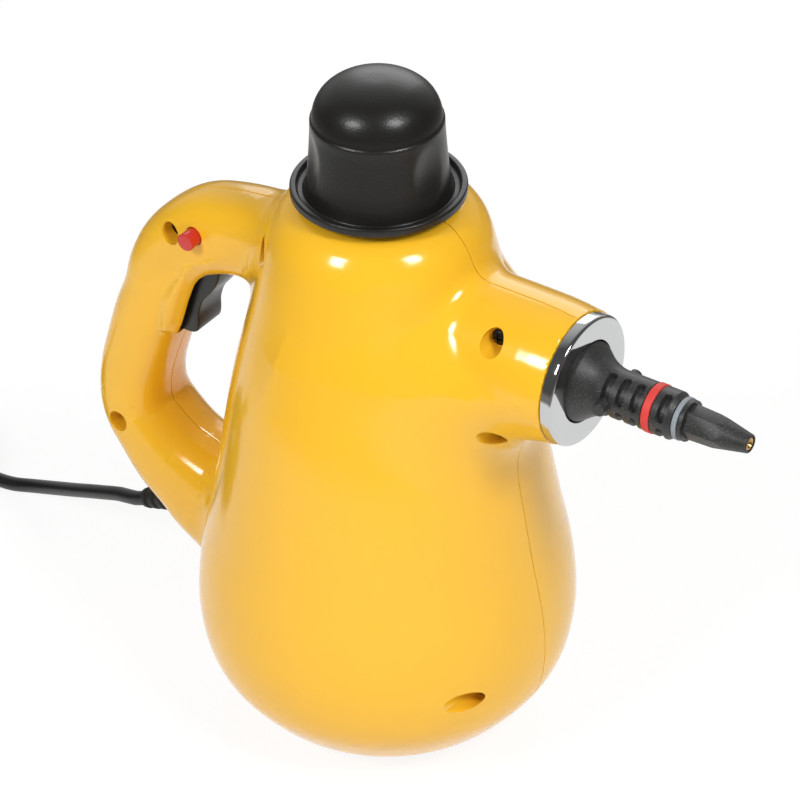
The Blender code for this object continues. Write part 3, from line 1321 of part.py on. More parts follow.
def mains_cord():
    """The free cord, its coil on the floor, its tail and the plug beside it."""
    frame = relief_frame()
    exit_point = frame @ Vector((0, 0, SLEEVE_LENGTH + CLEAR))
    outward = frame.to_3x3() @ Vector((0, 0, 1))
    coil = coil_layout(exit_point)
    level = Vector((1, 1, 0))
    lead_in = ((coil[0] - coil[1]) * level).normalized()
    coil_start = coil[0] + lead_in * 2 * CORD_RADIUS
    meet = coil_start + lead_in * CLEAR
    rest = CORD_RADIUS + COIL_LIFT
    route = [exit_point, exit_point + outward * CORD_RADIUS * 2]
    for along, aside, rise in CORD_ROUTE_SHARES:
        route.append(Vector((exit_point.x - along * CORD_RUN, aside * CORD_RUN,
                             rest + rise * (exit_point.z - rest))))
    route += [meet + lead_in * CORD_RADIUS * 2, meet]
    curve_tube("power_cord", smooth_line(route, 2), CORD_RADIUS, black_rubber(), 1)
    lead_out = ((coil[-1] - coil[-2]) * level).normalized()
    coil_end = coil[-1] + lead_out * 2 * CORD_RADIUS
    wound = [coil_start] + coil + [coil_end]
    curve_tube("cord_coil", wound, CORD_RADIUS, black_rubber(), 1)
    print(f"cord coil: least gap {least_gap(coil, CORD_RADIUS) / MM:.2f} mm")
    tail_start = coil_end + lead_out * CLEAR
    plug_height = PLUG_THICKNESS / 2 + COIL_LIFT
    drop = tail_start.z - plug_height
    down = Vector((0, 0, -1))
    tail = [tail_start, tail_start + lead_out * CORD_RADIUS * 2]
    for along, fallen in TAIL_DROP_SHARES:
        tail.append(tail_start + lead_out * along * TAIL_DROP + down * drop * fallen)
    for along in (TAIL_RUN / 2, TAIL_RUN):
        tail.append(tail_start + lead_out * (TAIL_DROP + along) + down * drop)
    curve_tube("cord_tail", smooth_line(tail, 2), CORD_RADIUS, black_rubber(), 1)
    mains_plug(tail[-1] + lead_out * CLEAR, lead_out)


def mains_plug(start, direction):
    """A flat two-pin plug lying on the floor, its collar towards the cord."""
    turn = Matrix.Rotation(math.atan2(direction.y, direction.x), 4, "Z")
    place = Matrix.Translation(start) @ turn
    unit = rounded_section(PLUG_SIDES, PLUG_POWER)
    collar = 2 * PLUG_COLLAR_RADIUS
    flared = PLUG_COLLAR_FLARE * collar
    shoulder, narrowed = PLUG_SHOULDER_SHARES
    rings = []
    for along, wide, thick in (
        (0, collar, collar),
        (PLUG_COLLAR_LENGTH, flared, flared),
        (PLUG_COLLAR_LENGTH + shoulder * PLUG_LENGTH, narrowed * PLUG_WIDTH, PLUG_THICKNESS),
        (PLUG_LENGTH, PLUG_WIDTH, PLUG_THICKNESS),
        (PLUG_COLLAR_LENGTH + PLUG_LENGTH, PLUG_WIDTH, PLUG_THICKNESS),
    ):
        rings.append([place @ Vector((along, wide / 2 * u, thick / 2 * v)) for u, v in unit])
    plug = loft("mains_plug", rings)
    base = PLUG_COLLAR_LENGTH + PLUG_LENGTH
    pins = []
    for side in (-1, 1):
        y = side * PLUG_PIN_SPACING / 2
        pins.append(rod("pin", place @ Vector((base - OVERRUN, y, 0)),
                        place @ Vector((base + PLUG_PIN_LENGTH, y, 0)), PLUG_PIN_RADIUS, sides=HOLE_SIDES))
    combine(plug, join_apart("pins", pins), "UNION")
    dress(plug, black_rubber())


def build():
    clear_scene()
    housing()
    housing_screws()
    floor = base_plate()
    boiler_stand(floor)
    boiler()
    heater_height = heater()
    filler_neck()
    filler_cap()
    cap_core()
    snout_ring()
    nozzle()
    trigger()
    lock_button()
    steam_path()
    cord_entry(heater_height)
    mains_cord()


build()
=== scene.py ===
"""Looks of the handheld steam window cleaner: glossy yellow pear-shaped housing in two
moulded halves, black cap, chromed snout ring, black bayonet nozzle and a mains cord."""

import math

import bmesh
import bpy
import numpy as np
from mathutils import Matrix, Vector


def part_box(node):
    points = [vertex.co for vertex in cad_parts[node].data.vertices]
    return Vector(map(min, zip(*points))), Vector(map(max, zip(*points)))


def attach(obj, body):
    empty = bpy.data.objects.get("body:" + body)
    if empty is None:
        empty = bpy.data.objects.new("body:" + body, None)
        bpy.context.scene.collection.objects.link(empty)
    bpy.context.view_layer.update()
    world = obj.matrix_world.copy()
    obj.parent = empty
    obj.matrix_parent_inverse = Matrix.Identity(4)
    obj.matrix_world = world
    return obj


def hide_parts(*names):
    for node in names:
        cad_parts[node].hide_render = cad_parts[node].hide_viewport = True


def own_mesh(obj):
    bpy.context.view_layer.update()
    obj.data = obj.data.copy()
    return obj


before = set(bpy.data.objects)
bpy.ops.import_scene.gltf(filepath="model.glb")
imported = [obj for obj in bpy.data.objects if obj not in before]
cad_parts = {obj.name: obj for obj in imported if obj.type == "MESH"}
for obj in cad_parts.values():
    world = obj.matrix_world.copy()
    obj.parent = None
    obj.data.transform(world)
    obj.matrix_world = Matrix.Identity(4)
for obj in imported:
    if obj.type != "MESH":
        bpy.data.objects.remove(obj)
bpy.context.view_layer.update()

MM = 0.001
TAU = 2 * math.pi

# Steps of every rounded corner, and the gap under which points become one
ARC_STEPS = 6
MERGE = 0.002

# Main places in millimetres, as in the part. Only BODY_RADIUS is 0.12 less than there, so
# that the remeshed skin stays inside the part's box.
BODY_RADIUS = 72.38
BODY_TOP = 227.6
FOOT_LIFT = 0.6
SNOUT_AXIS = 182.08
SNOUT_END = 84.6
RING_FACE = 89.44
CAP_FOOT = 230.4
CLEAR = 0.3
WALL = 2.5

# From the middle plane to the flat face of each half
PARTING = 0.35

# Lock button and screws: places in the side view, and how deep each screw is seated
LOCK = (-74.7, 190.85)
LOCK_RADIUS = 3.5
SCREWS = (
    ((-86.2, 187.6), 7.83), ((-115.85, 91.27), 7.83), ((-33.5, 205.5), 15.95),
    ((61.3, 46.9), 26.1), ((61.8, 199.0), 14.08), ((62.7, 159.07), 14.08),
)
BORE_RADIUS = 4.4
BORE_END = 90
SHANK_HOLE = 1.8
BOSS_RADIUS = 5.9
CATCH_RADIUS = 4.0

# The snout ring's spigot and the strain relief's sleeve
SPIGOT_RADIUS = 17.5
RELIEF_RADIUS = 5.5


# --- small helpers

def smooth_line(points, steps):
    """Reads points from a smooth curve through the given ones."""
    points = [Vector(point) for point in points]
    ends = [2 * points[0] - points[1]] + points + [2 * points[-1] - points[-2]]
    line = [points[0]]
    for before, start, end, after in zip(ends, ends[1:], ends[2:], ends[3:]):
        for step in range(1, steps + 1):
            t = step / steps
            line.append(0.5 * (
                2 * start + (end - before) * t
                + (2 * before - 5 * start + 4 * end - after) * t * t
                + (3 * start - before - 3 * end + after) * t * t * t
            ))
    return line


def rounded(outline, closed=False):
    """An outline of (radius, height, corner radius) with its corners turned into arcs."""
    count = len(outline)
    line = []
    for place, (x, z, bend) in enumerate(outline):
        here = Vector((x, z))
        if bend == 0 or (not closed and place in (0, count - 1)):
            line.append(here)
            continue
        before = Vector(outline[place - 1][:2])
        after = Vector(outline[(place + 1) % count][:2])
        back, ahead = before - here, after - here
        half = back.angle(ahead) / 2
        reach = min(bend / math.tan(half), 0.49 * back.length, 0.49 * ahead.length)
        start, end = here + back.normalized() * reach, here + ahead.normalized() * reach
        for step in range(ARC_STEPS + 1):
            t = step / ARC_STEPS
            line.append((1 - t) ** 2 * start + 2 * t * (1 - t) * here + t * t * end)
    return [(point.x, point.y) for point in line]


def towards(place, direction):
    """A frame at a place in millimetres whose +Z runs in a direction."""
    turn = Vector(direction).to_track_quat("Z", "Y").to_matrix().to_4x4()
    return Matrix.Translation(place) @ turn


def along_snout(start):
    """A frame on the snout's axis whose +Z runs along +X."""
    return towards((start, 0, SNOUT_AXIS), (1, 0, 0))


def from_side(place):
    """A frame at a place of the side view, whose +Z runs along -Y."""
    return towards((place[0], 0, place[1]), (0, -1, 0))


def outward(bm):
    """Turns every face of a closed bmesh outwards."""
    bmesh.ops.recalc_face_normals(bm, faces=bm.faces)


def mesh_of(bm, name):
    """A mesh of a bmesh, which is used up."""
    mesh = bpy.data.meshes.new(name)
    bm.to_mesh(mesh)
    bm.free()
    return mesh


def linked(name, data):
    """A new object in the scene."""
    made = bpy.data.objects.new(name, data)
    bpy.context.scene.collection.objects.link(made)
    return made


def spun(outline, steps=96, closed=False, place=None):
    """Spins an outline of (radius, height) pairs about Z, then sets it in place."""
    bm = bmesh.new()
    points = [bm.verts.new((radius, 0, height)) for radius, height in outline]
    edges = [bm.edges.new(pair) for pair in zip(points, points[1:])]
    if closed:
        edges.append(bm.edges.new((points[-1], points[0])))
    bmesh.ops.spin(
        bm, geom=points + edges, axis=(0, 0, 1), cent=(0, 0, 0),
        angle=TAU, steps=steps, use_merge=True,
    )
    bmesh.ops.remove_doubles(bm, verts=bm.verts, dist=MERGE)
    outward(bm)
    if place is not None:
        bmesh.ops.transform(bm, matrix=place, verts=bm.verts)
    return bm


def pushed(outline, half_width):
    """Extrudes an outline of (x, z) pairs to both sides along Y."""
    bm = bmesh.new()
    face = bm.faces.new([bm.verts.new((x, -half_width, z)) for x, z in outline])
    grown = bmesh.ops.extrude_face_region(bm, geom=[face])
    bmesh.ops.translate(bm, vec=(0, 2 * half_width, 0), verts=new_points(grown))
    outward(bm)
    return bm


def box(size, middle):
    """A block of a size round a middle point."""
    bm = bmesh.new()
    bmesh.ops.create_cube(bm, size=1.0)
    bmesh.ops.scale(bm, vec=size, verts=bm.verts)
    bmesh.ops.translate(bm, vec=middle, verts=bm.verts)
    return bm


def new_points(grown):
    """The points among what an extrusion made."""
    return [item for item in grown["geom"] if isinstance(item, bmesh.types.BMVert)]


def next_ring(bm, edges):
    """Extrudes a ring of edges where it lies and returns the new points and edges."""
    grown = bmesh.ops.extrude_edge_only(bm, edges=edges)
    ring = new_points(grown)
    return ring, [item for item in grown["geom"] if isinstance(item, bmesh.types.BMEdge)
                  and item.verts[0] in ring and item.verts[1] in ring]


def bevelled(bm, edges, offset, segments):
    """Rounds the given edges of a bmesh."""
    bmesh.ops.bevel(bm, geom=edges, offset=offset, segments=segments, affect="EDGES",
                    profile=0.5, clamp_overlap=True, material=-1)


def worked(bm):
    """An object in millimetres, used for a modifier and removed after it."""
    return linked("tool", mesh_of(bm, "tool"))


def joined(parts):
    """One bmesh of several that don't touch."""
    whole = bmesh.new()
    for part in parts:
        mesh = mesh_of(part, "joined")
        whole.from_mesh(mesh)
        bpy.data.meshes.remove(mesh)
    return whole


def applied(made):
    """Applies every modifier of an object and returns its mesh as a bmesh."""
    graph = bpy.context.evaluated_depsgraph_get()
    mesh = bpy.data.meshes.new_from_object(made.evaluated_get(graph))
    bm = bmesh.new()
    bm.from_mesh(mesh)
    old = made.data
    bpy.data.objects.remove(made, do_unlink=True)
    bpy.data.meshes.remove(old)
    bpy.data.meshes.remove(mesh)
    return bm


def combined(base, tool, operation):
    """One exact Boolean of two bmeshes, both used up."""
    target, other = worked(base), worked(tool)
    step = target.modifiers.new("combined", "BOOLEAN")
    step.object = other
    step.operation = operation
    step.solver = "EXACT"
    bm = applied(target)
    bpy.data.objects.remove(other, do_unlink=True)
    return bm


def piece(name, bm, finish, body, nodes=(), sharp=32.0):
    """Finishes a new piece: from millimetres to metres, dressed, riding on its body."""
    bmesh.ops.scale(bm, vec=(MM, MM, MM), verts=bm.verts)
    mesh = mesh_of(bm, name)
    mesh.shade_smooth()
    mesh.set_sharp_from_angle(angle=math.radians(sharp))
    mesh.materials.append(finish)
    made = linked(name, mesh)
    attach(made, body)
    if nodes:
        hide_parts(*nodes)
    return made


# --- materials

# The size in millimetres of the slow drift in colour and roughness, and how many bands a
# wave texture draws to one unit of its scale
CLOUD = 35
WAVE_BANDS = 20


def linear(code, share=1.0):
    """An sRGB hex colour as linear values, dimmed by a share."""
    values = [int(code[place:place + 2], 16) / 255 for place in (1, 3, 5)]
    straight = [v / 12.92 if v <= 0.04045 else ((v + 0.055) / 1.055) ** 2.4 for v in values]
    return (*[v * share for v in straight], 1.0)


def add_node(tree, kind, values=None, links=None):
    """Adds one node with its settings and its links."""
    node = tree.nodes.new(kind)
    for name, value in (values or {}).items():
        if isinstance(name, int) or name in node.inputs:
            node.inputs[name].default_value = value
        else:
            setattr(node, name, value)
    for name, socket in (links or {}).items():
        tree.links.new(socket, node.inputs[name])
    return node


def surface(name, colour, shader, grain=0.4, depth=0.0, drift=0.05, painted_glints=0.0, lines=None):
    """A finish of one real material. Grain and depth are in millimetres: the size and the
    height of the fine relief. Drift is how far the colour wanders over the piece,
    painted_glints is the share of light added by painted glint specks, and lines is the
    spacing of turning or drawing marks."""
    made = bpy.data.materials.new(name)
    made.use_nodes = True
    tree = made.node_tree
    coat = tree.nodes["Principled BSDF"]
    for socket, value in shader.items():
        coat.inputs[socket].default_value = value
    place = add_node(tree, "ShaderNodeTexCoord").outputs["Object"]
    cloud = add_node(tree, "ShaderNodeTexNoise", {"Scale": 1 / (CLOUD * MM), "Detail": 3.0},
                     {"Vector": place})
    tint = add_node(
        tree, "ShaderNodeMix",
        {"data_type": "RGBA", 6: linear(colour, 1 - drift), 7: linear(colour)},
        {0: cloud.outputs["Fac"]},
    ).outputs[2]
    fine = add_node(tree, "ShaderNodeTexNoise", {"Scale": 1 / (grain * MM), "Detail": 2.0},
                    {"Vector": place})
    relief = fine.outputs["Fac"]
    if lines:
        marks = add_node(
            tree, "ShaderNodeTexWave",
            {"wave_type": "RINGS", "rings_direction": "X",
             "Scale": 1 / (lines * MM * WAVE_BANDS), "Distortion": 1.5, "Detail": 2.0},
            {"Vector": place},
        )
        relief = add_node(tree, "ShaderNodeMath", {"operation": "MULTIPLY"},
                          {0: relief, 1: marks.outputs["Fac"]}).outputs[0]
    # Light specks added to the base colour: painted glints.
    if painted_glints:
        glint_spots = add_node(tree, "ShaderNodeMapRange", {"From Min": 0.60, "From Max": 0.72},
                         {"Value": fine.outputs["Fac"]})
        tint = add_node(
            tree, "ShaderNodeMix",
            {"data_type": "RGBA", "blend_type": "ADD", 7: (painted_glints, painted_glints, painted_glints, 1.0)},
            {0: glint_spots.outputs["Result"], 6: tint},
        ).outputs[2]
    tree.links.new(tint, coat.inputs["Base Color"])
    rough = shader["Roughness"]
    wander = add_node(
        tree, "ShaderNodeMapRange", {"To Min": rough * 0.85, "To Max": rough * 1.15},
        {"Value": cloud.outputs["Fac"]},
    )
    tree.links.new(wander.outputs["Result"], coat.inputs["Roughness"])
    if depth:
        bump = add_node(tree, "ShaderNodeBump", {"Strength": 1.0, "Distance": depth * MM},
                        {"Height": relief})
        tree.links.new(bump.outputs["Normal"], coat.inputs["Normal"])
    return made


# Moulded ABS with a polished tool: an even, warm, glossy skin that mirrors the lamps and
# has a faint orange peel.
yellow_abs = surface("polished_yellow_abs", "#FBC02B", {"Roughness": 0.15, "IOR": 1.54},
                     grain=6.0, depth=0.010, drift=0.03)

# Moulded polypropylene with a spark-eroded tool: deep black with a satin bloom and a grain
# that breaks highlights up. The grain is drawn at 0.7 mm, coarser than the real one, so
# that it shows.
black_pp = surface("satin_black_polypropylene", "#1B1A18", {"Roughness": 0.33, "IOR": 1.49},
                   grain=0.70, depth=0.060, drift=0.10)

# Glass-filled nylon: matt charcoal, with the glints of its fibre ends painted into the
# colour as light specks. The grain is drawn at 0.36 mm, coarser than the real one, so
# that it shows.
nylon = surface("glass_filled_nylon", "#2B2B2A", {"Roughness": 0.45, "IOR": 1.53},
                grain=0.36, depth=0.04, drift=0.12, painted_glints=0.13)

# Chromed ABS: a bright mirror with a faint haze.
chrome = surface("chromed_abs", "#C9CACA", {"Roughness": 0.06, "Metallic": 1.0},
                 grain=3.0, depth=0.0015, drift=0.02)

# Moulded silicone rubber: soft, even red or grey with almost no shine.
red_silicone = surface("red_silicone", "#E0453E", {"Roughness": 0.52, "IOR": 1.41},
                       grain=0.25, depth=0.006, drift=0.06)
grey_silicone = surface("grey_silicone", "#949CA2", {"Roughness": 0.52, "IOR": 1.41},
                        grain=0.25, depth=0.006, drift=0.06)

# Turned brass: warm yellow metal with fine rings.
brass = surface("turned_brass", "#D9AE62", {"Roughness": 0.27, "Metallic": 1.0},
                grain=0.2, depth=0.006, drift=0.08, lines=0.3)

# Zinc-plated steel: cool grey metal, a little cloudy.
steel = surface("zinc_plated_steel", "#C3C6C9", {"Roughness": 0.33, "Metallic": 1.0},
                grain=0.5, depth=0.004, drift=0.15)

# Phosphated steel of the housing screws: almost black, with a soft metal shine.
dark_steel = surface("phosphated_steel", "#3A3836", {"Roughness": 0.42, "Metallic": 1.0},
                     grain=0.4, depth=0.006, drift=0.15)

# Die-cast aluminium: dull silvery skin with a sandy relief.
cast_metal = surface("die_cast_aluminium", "#C2C4C6", {"Roughness": 0.46, "Metallic": 1.0},
                     grain=0.8, depth=0.03, drift=0.12)

# Moulded red ABS with a polished tool: a clear signal red with small sharp highlights.
red_abs = surface("polished_red_abs", "#CC2A22", {"Roughness": 0.14, "IOR": 1.54},
                  grain=2.0, depth=0.004, drift=0.04)

# Black EPDM rubber: matt, slightly brownish black.
rubber = surface("black_epdm_rubber", "#211F1E", {"Roughness": 0.62, "IOR": 1.45},
                 grain=0.5, depth=0.012, drift=0.15)

# Extruded PVC: smooth black sheath with long soft highlights.
pvc = surface("black_pvc_sheath", "#1C1C1C", {"Roughness": 0.38, "IOR": 1.53},
              grain=0.8, depth=0.006, drift=0.10)

# Woven glass sleeve and ceramic: chalky white.
white_sleeve = surface("white_glass_sleeve", "#E4E1DA", {"Roughness": 0.70, "IOR": 1.50},
                       grain=0.5, depth=0.03, drift=0.08)


# --- camera, floor, light

def camera():
    """The photograph's view: a long lens, 36 degrees round and 36 degrees up."""
    lens = bpy.data.cameras.new("camera")
    lens.lens = 162
    lens.sensor_width = 36
    lens.clip_end = 50
    made = linked("camera", lens)
    made.matrix_world = Matrix((
        (0.81704, -0.32817, 0.47408, 0.63779),
        (0.57636, 0.48739, -0.65594, -0.87211),
        (-0.01580, 0.80917, 0.58736, 0.92174),
        (0, 0, 0, 1),
    ))
    bpy.context.scene.camera = made


camera()


AIM = Vector((0.0, 0.0, 0.12))


def lamp(name, place, size, power):
    """A soft white rectangular lamp turned towards the middle of the cleaner."""
    light = bpy.data.lights.new(name, "AREA")
    light.shape = "RECTANGLE"
    light.size, light.size_y = size
    light.energy = power
    made = linked(name, light)
    turn = (AIM - Vector(place)).to_track_quat("-Z", "Y").to_matrix().to_4x4()
    made.matrix_world = Matrix.Translation(place) @ turn
    return made


def either(tree, one, other):
    """1 where either of two 0-or-1 sockets is 1."""
    return add_node(tree, "ShaderNodeMath", {"operation": "MAXIMUM"},
                    {0: one, 1: other}).outputs[0]


def studio_floor():
    """A pale floor that takes a soft shadow. What mirrors it sees a table's end: beyond
    half a metre the floor darkens to a brown room."""
    bm = bmesh.new()
    bmesh.ops.create_grid(bm, x_segments=2, y_segments=2, size=6.0)
    mesh = mesh_of(bm, "floor")
    floor = linked("floor", mesh)
    made = bpy.data.materials.new("pale_studio_floor")
    made.use_nodes = True
    tree = made.node_tree
    tree.nodes.clear()
    ray = add_node(tree, "ShaderNodeLightPath").outputs
    seen = either(tree, either(tree, ray["Is Camera Ray"], ray["Is Glossy Ray"]),
                  ray["Is Transmission Ray"])
    paper = add_node(tree, "ShaderNodeBsdfDiffuse", {"Color": linear("#E2E2E2")})
    shade = add_node(tree, "ShaderNodeBsdfDiffuse", {"Color": linear("#6E6E6E")})
    place = add_node(tree, "ShaderNodeTexCoord").outputs["Object"]
    reach = add_node(tree, "ShaderNodeVectorMath", {"operation": "LENGTH"}, {0: place})
    table = add_node(tree, "ShaderNodeMapRange",
                     {"From Min": 0.44, "From Max": 0.58, "To Min": 0.0, "To Max": 0.96},
                     {"Value": reach.outputs["Value"]})
    room = add_node(tree, "ShaderNodeMath", {"operation": "MULTIPLY"},
                    {0: table.outputs["Result"], 1: ray["Is Glossy Ray"]})
    tone = add_node(tree, "ShaderNodeMix", {"data_type": "RGBA", 6: linear("#FFFFFF"),
                                            7: linear("#4A4038")}, {0: room.outputs[0]})
    glow = add_node(tree, "ShaderNodeEmission", {"Strength": 0.88}, {"Color": tone.outputs[2]})
    both = add_node(tree, "ShaderNodeAddShader", {}, {0: shade.outputs[0], 1: glow.outputs[0]})
    mix = add_node(tree, "ShaderNodeMixShader", {},
                   {0: seen, 1: paper.outputs[0], 2: both.outputs[0]})
    add_node(tree, "ShaderNodeOutputMaterial", {}, {"Surface": mix.outputs[0]})
    mesh.materials.append(made)


def studio_world():
    """White for the camera, a dim even room for light, and for what mirrors it a room that
    is dark in front and pale behind."""
    world = bpy.data.worlds.new("studio")
    bpy.context.scene.world = world
    world.use_nodes = True
    tree = world.node_tree
    tree.nodes.clear()
    ray = add_node(tree, "ShaderNodeLightPath").outputs
    seen = either(tree, ray["Is Camera Ray"], ray["Is Transmission Ray"])
    way = add_node(tree, "ShaderNodeTexCoord").outputs["Generated"]
    behind = add_node(tree, "ShaderNodeVectorMath", {"operation": "DOT_PRODUCT",
                                                     1: (-0.45, 0.65, 0.35)}, {0: way})
    backdrop = add_node(tree, "ShaderNodeMapRange",
                        {"From Min": 0.35, "From Max": 0.90, "To Min": 0.10, "To Max": 0.80},
                        {"Value": behind.outputs["Value"]})
    level = add_node(tree, "ShaderNodeMix", {"data_type": "FLOAT", 2: 0.28},
                     {0: ray["Is Glossy Ray"], 3: backdrop.outputs["Result"]})
    soft = add_node(tree, "ShaderNodeBackground", {"Color": linear("#FFFFFF")},
                    {"Strength": level.outputs[0]})
    white = add_node(tree, "ShaderNodeBackground", {"Color": linear("#FFFFFF"), "Strength": 1.0})
    mix = add_node(tree, "ShaderNodeMixShader", {},
                   {0: seen, 1: soft.outputs[0], 2: white.outputs[0]})
    add_node(tree, "ShaderNodeOutputWorld", {}, {"Surface": mix.outputs[0]})


def studio():
    """Floor, world and lamps: two small softboxes beside the camera, a fill and a window
    of light behind."""
    studio_floor()
    studio_world()
    lamp("left_softbox", (-0.33, -1.26, 1.24), (0.34, 0.42), 12.0)
    lamp("right_softbox", (1.08, -0.24, 1.36), (0.34, 0.42), 12.0)
    lamp("front_fill", (1.15, -1.15, 0.30), (1.3, 0.5), 5.0).visible_glossy = False
    lamp("rear_softbox", (-0.75, 1.45, 0.95), (1.2, 1.0), 7.0)
    bpy.context.scene.view_settings.view_transform = "Standard"


studio()


# --- cord and plug

CORD_RADIUS = 3.0
CORD_ROUTE = (
    (-119.28, 0.0, 40.90), (-124.70, 0.0, 38.32), (-135.05, 2.13, 34.60), (-144.63, 3.83, 30.19),
    (-154.75, 5.96, 25.22), (-164.97, 8.20, 20.01), (-175.41, 10.54, 14.81),
    (-185.63, 12.46, 9.99), (-194.79, 13.21, 6.40), (-202.67, 12.57, 4.22),
    (-210.45, 12.03, 3.39), (-218.44, 12.25, 3.20), (-225.79, 13.63, 3.20),
    (-232.23, 18.05, 3.20), (-238.22, 18.43, 3.20),
)
CORD_TAIL = (
    (-299.74, -10.41, 23.30), (-303.30, -15.24, 23.30), (-308.04, -21.67, 20.70),
    (-316.36, -32.97, 11.60), (-324.65, -44.23, 7.54), (-327.32, -47.85, 7.05),
    (-329.99, -51.47, 7.05),
)


def coil_line():
    """The wound coil: it spirals in and out and climbs a layer at each turn-back."""
    centre, low, first_angle, turn_points = Vector((-255.98, -24.0)), 3.2, 75.0, 24
    inner, pitch, passes, pass_turns = 25.5, 6.7, 4, 2.8125
    outer = inner + pass_turns * pitch
    line = []
    for step in range(round(passes * pass_turns * turn_points) + 1):
        turns = step / turn_points
        inward = turns / pass_turns % 2
        share = inward if inward <= 1 else 2 - inward
        radius = outer - share * (outer - inner)
        layer = sum(
            min(max((turns - change * pass_turns) / 0.5 + 0.5, 0.0), 1.0)
            for change in range(1, passes)
        )
        angle = math.radians(first_angle) + TAU * turns
        line.append(Vector((
            centre.x + radius * math.cos(angle), centre.y + radius * math.sin(angle),
            low + layer * pitch,
        )))
    return line


def mains_cord(plug):
    """One length of cord from the strain relief through the coil to the plug."""
    points = smooth_line(CORD_ROUTE, 2) + coil_line() + smooth_line(CORD_TAIL, 2)
    line = bpy.data.curves.new("mains_cord", "CURVE")
    line.dimensions = "3D"
    line.bevel_depth = CORD_RADIUS * MM
    line.bevel_resolution = 6
    line.use_fill_caps = True
    spline = line.splines.new("POLY")
    spline.points.add(len(points) - 1)
    for place, point in zip(spline.points, points):
        place.co = (*(point * MM), 1.0)
    spline.use_smooth = True
    line.materials.append(pvc)
    made = linked("mains_cord", line)
    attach(made, "housing")
    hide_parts("power_cord", "cord_coil", "cord_tail")


def mains_plug():
    """A flat two-pin plug on the floor: waisted body and two pins."""
    start = Vector(CORD_TAIL[-1])
    ahead = (start - Vector(CORD_TAIL[-2])).normalized()
    place = towards(start + ahead * CLEAR, (ahead.x, ahead.y, 0))
    squareness, pin_radius, pin_start, pin_end, pin_offset = 0.66, 2.0, 43, 64, 9.3
    # Along the plug, half its width, half its thickness
    stations = (
        (0.0, 4.4, 4.4), (1.0, 4.6, 4.6), (11.0, 4.9, 4.9), (15.0, 7.6, 5.9), (19.0, 10.6, 6.6),
        (24.0, 11.4, 6.75), (29.0, 11.6, 6.75), (34.0, 12.6, 6.8), (42.0, 13.0, 6.85),
        (44.2, 13.0, 6.85), (45.0, 12.3, 6.2),
    )
    bm = bmesh.new()
    ring = bmesh.ops.create_circle(bm, segments=40, radius=1.0)["verts"]
    for point in ring:
        for axis in (0, 1):
            point.co[axis] = math.copysign(abs(point.co[axis]) ** squareness, point.co[axis])
    edges = list(bm.edges)
    bm.faces.new(ring)
    scale = Vector((1, 1))
    height = 0.0
    for along, wide, thick in stations:
        if along > 0:
            ring, edges = next_ring(bm, edges)
        bmesh.ops.scale(bm, vec=(wide / scale.x, thick / scale.y, 1), verts=ring)
        bmesh.ops.translate(bm, vec=(0, 0, along - height), verts=ring)
        scale, height = Vector((wide, thick)), along
    bmesh.ops.holes_fill(bm, edges=edges)
    outward(bm)
    bmesh.ops.transform(bm, matrix=place, verts=bm.verts)
    body = piece("mains_plug_body", bm, rubber, "housing", ["mains_plug"])
    pins = []
    for side in (-1, 1):
        outline = rounded([(0, pin_start, 0), (pin_radius, pin_start, 0),
                           (pin_radius, pin_end, 1.2), (0, pin_end, 0)])
        spot = place @ Matrix.Translation((side * pin_offset, 0, 0))
        pins.append(spun(outline, 32, place=spot))
    made = piece("mains_plug_pins", joined(pins), brass, "housing")
    made.parent = body
    return body


mains_cord(mains_plug())


# --- housing

# The body's side: shares of its radius and its height
BODY_OUTLINE = (
    (0.590, 0.000), (0.681, 0.024), (0.814, 0.065), (0.949, 0.130), (1.000, 0.211),
    (0.981, 0.304), (0.917, 0.406), (0.847, 0.527), (0.764, 0.669), (0.654, 0.811),
    (0.590, 0.900), (0.552, 0.946), (0.495, 0.976), (0.432, 0.993), (0.383, 1.000),
)
# The handle's middle line in the side view, with half its depth and half its width
HANDLE = (
    (-24, 192.2, 17.0, 15.1), (-40, 192.7, 17.1, 14.9), (-52, 192.2, 17.0, 14.6),
    (-64.2, 190.2, 16.9, 14.6), (-74.4, 186.9, 17.0, 14.7), (-83.4, 181.3, 16.5, 14.6),
    (-91.5, 173.6, 15.7, 14.6), (-97.6, 163.4, 15.0, 14.9), (-101.5, 151.8, 14.3, 15.4),
    (-106.6, 138.9, 14.4, 16.0), (-111.6, 124.5, 14.0, 16.4), (-115.2, 111.9, 13.9, 16.8),
    (-116.3, 100, 14.0, 17.4), (-114.2, 91.3, 14.5, 17.8), (-108.8, 84, 15.2, 18.1),
    (-100, 74.9, 17.4, 18.4), (-89.9, 68.4, 19.6, 18.7), (-80, 62.8, 22.4, 19.2),
    (-64, 56.8, 24.8, 19.7), (-46, 52.3, 25.6, 19.8),
)
HANDLE_POWER = 2.7
HANDLE_FILLET = 11.0

# The raised guard and the slot of the trigger, as outlines in the side view
GUARD = (
    (-60.0, 183.0), (-64.2, 179.1), (-69.7, 176.4), (-73.0, 174.3), (-76.4, 170.0),
    (-78.7, 165.4), (-82.0, 156.9), (-86.2, 144.2), (-88.7, 139.0), (-93.0, 137.3),
    (-98.0, 138.6), (-95.0, 158.0), (-83.0, 176.5), (-66.0, 188.0),
)
GUARD_HALF = 15.2
GUARD_CHAMFER = 4.6
GUARD_FILLET = 2.0
SLOT = (
    (-57.0, 187.0), (-72.0, 188.0), (-86.0, 178.0), (-98.0, 152.0), (-98.0, 139.6),
    (-79.0, 139.6), (-57.0, 160.0),
)
SLOT_HALF = 10.4

# The snout: its radius along it, its widest and narrowest fillet to the body, and how far
# its form runs on before its end is cut flat
SNOUT_RADIUS = 26.3
SNOUT_TAPER = ((0, 66, 72, 78, SNOUT_END), (SNOUT_RADIUS, SNOUT_RADIUS, 26.22, 25.85, 25.15))
SNOUT_START = 10
SNOUT_FILLETS = (33, 7)
SNOUT_OVERRUN = 1.2

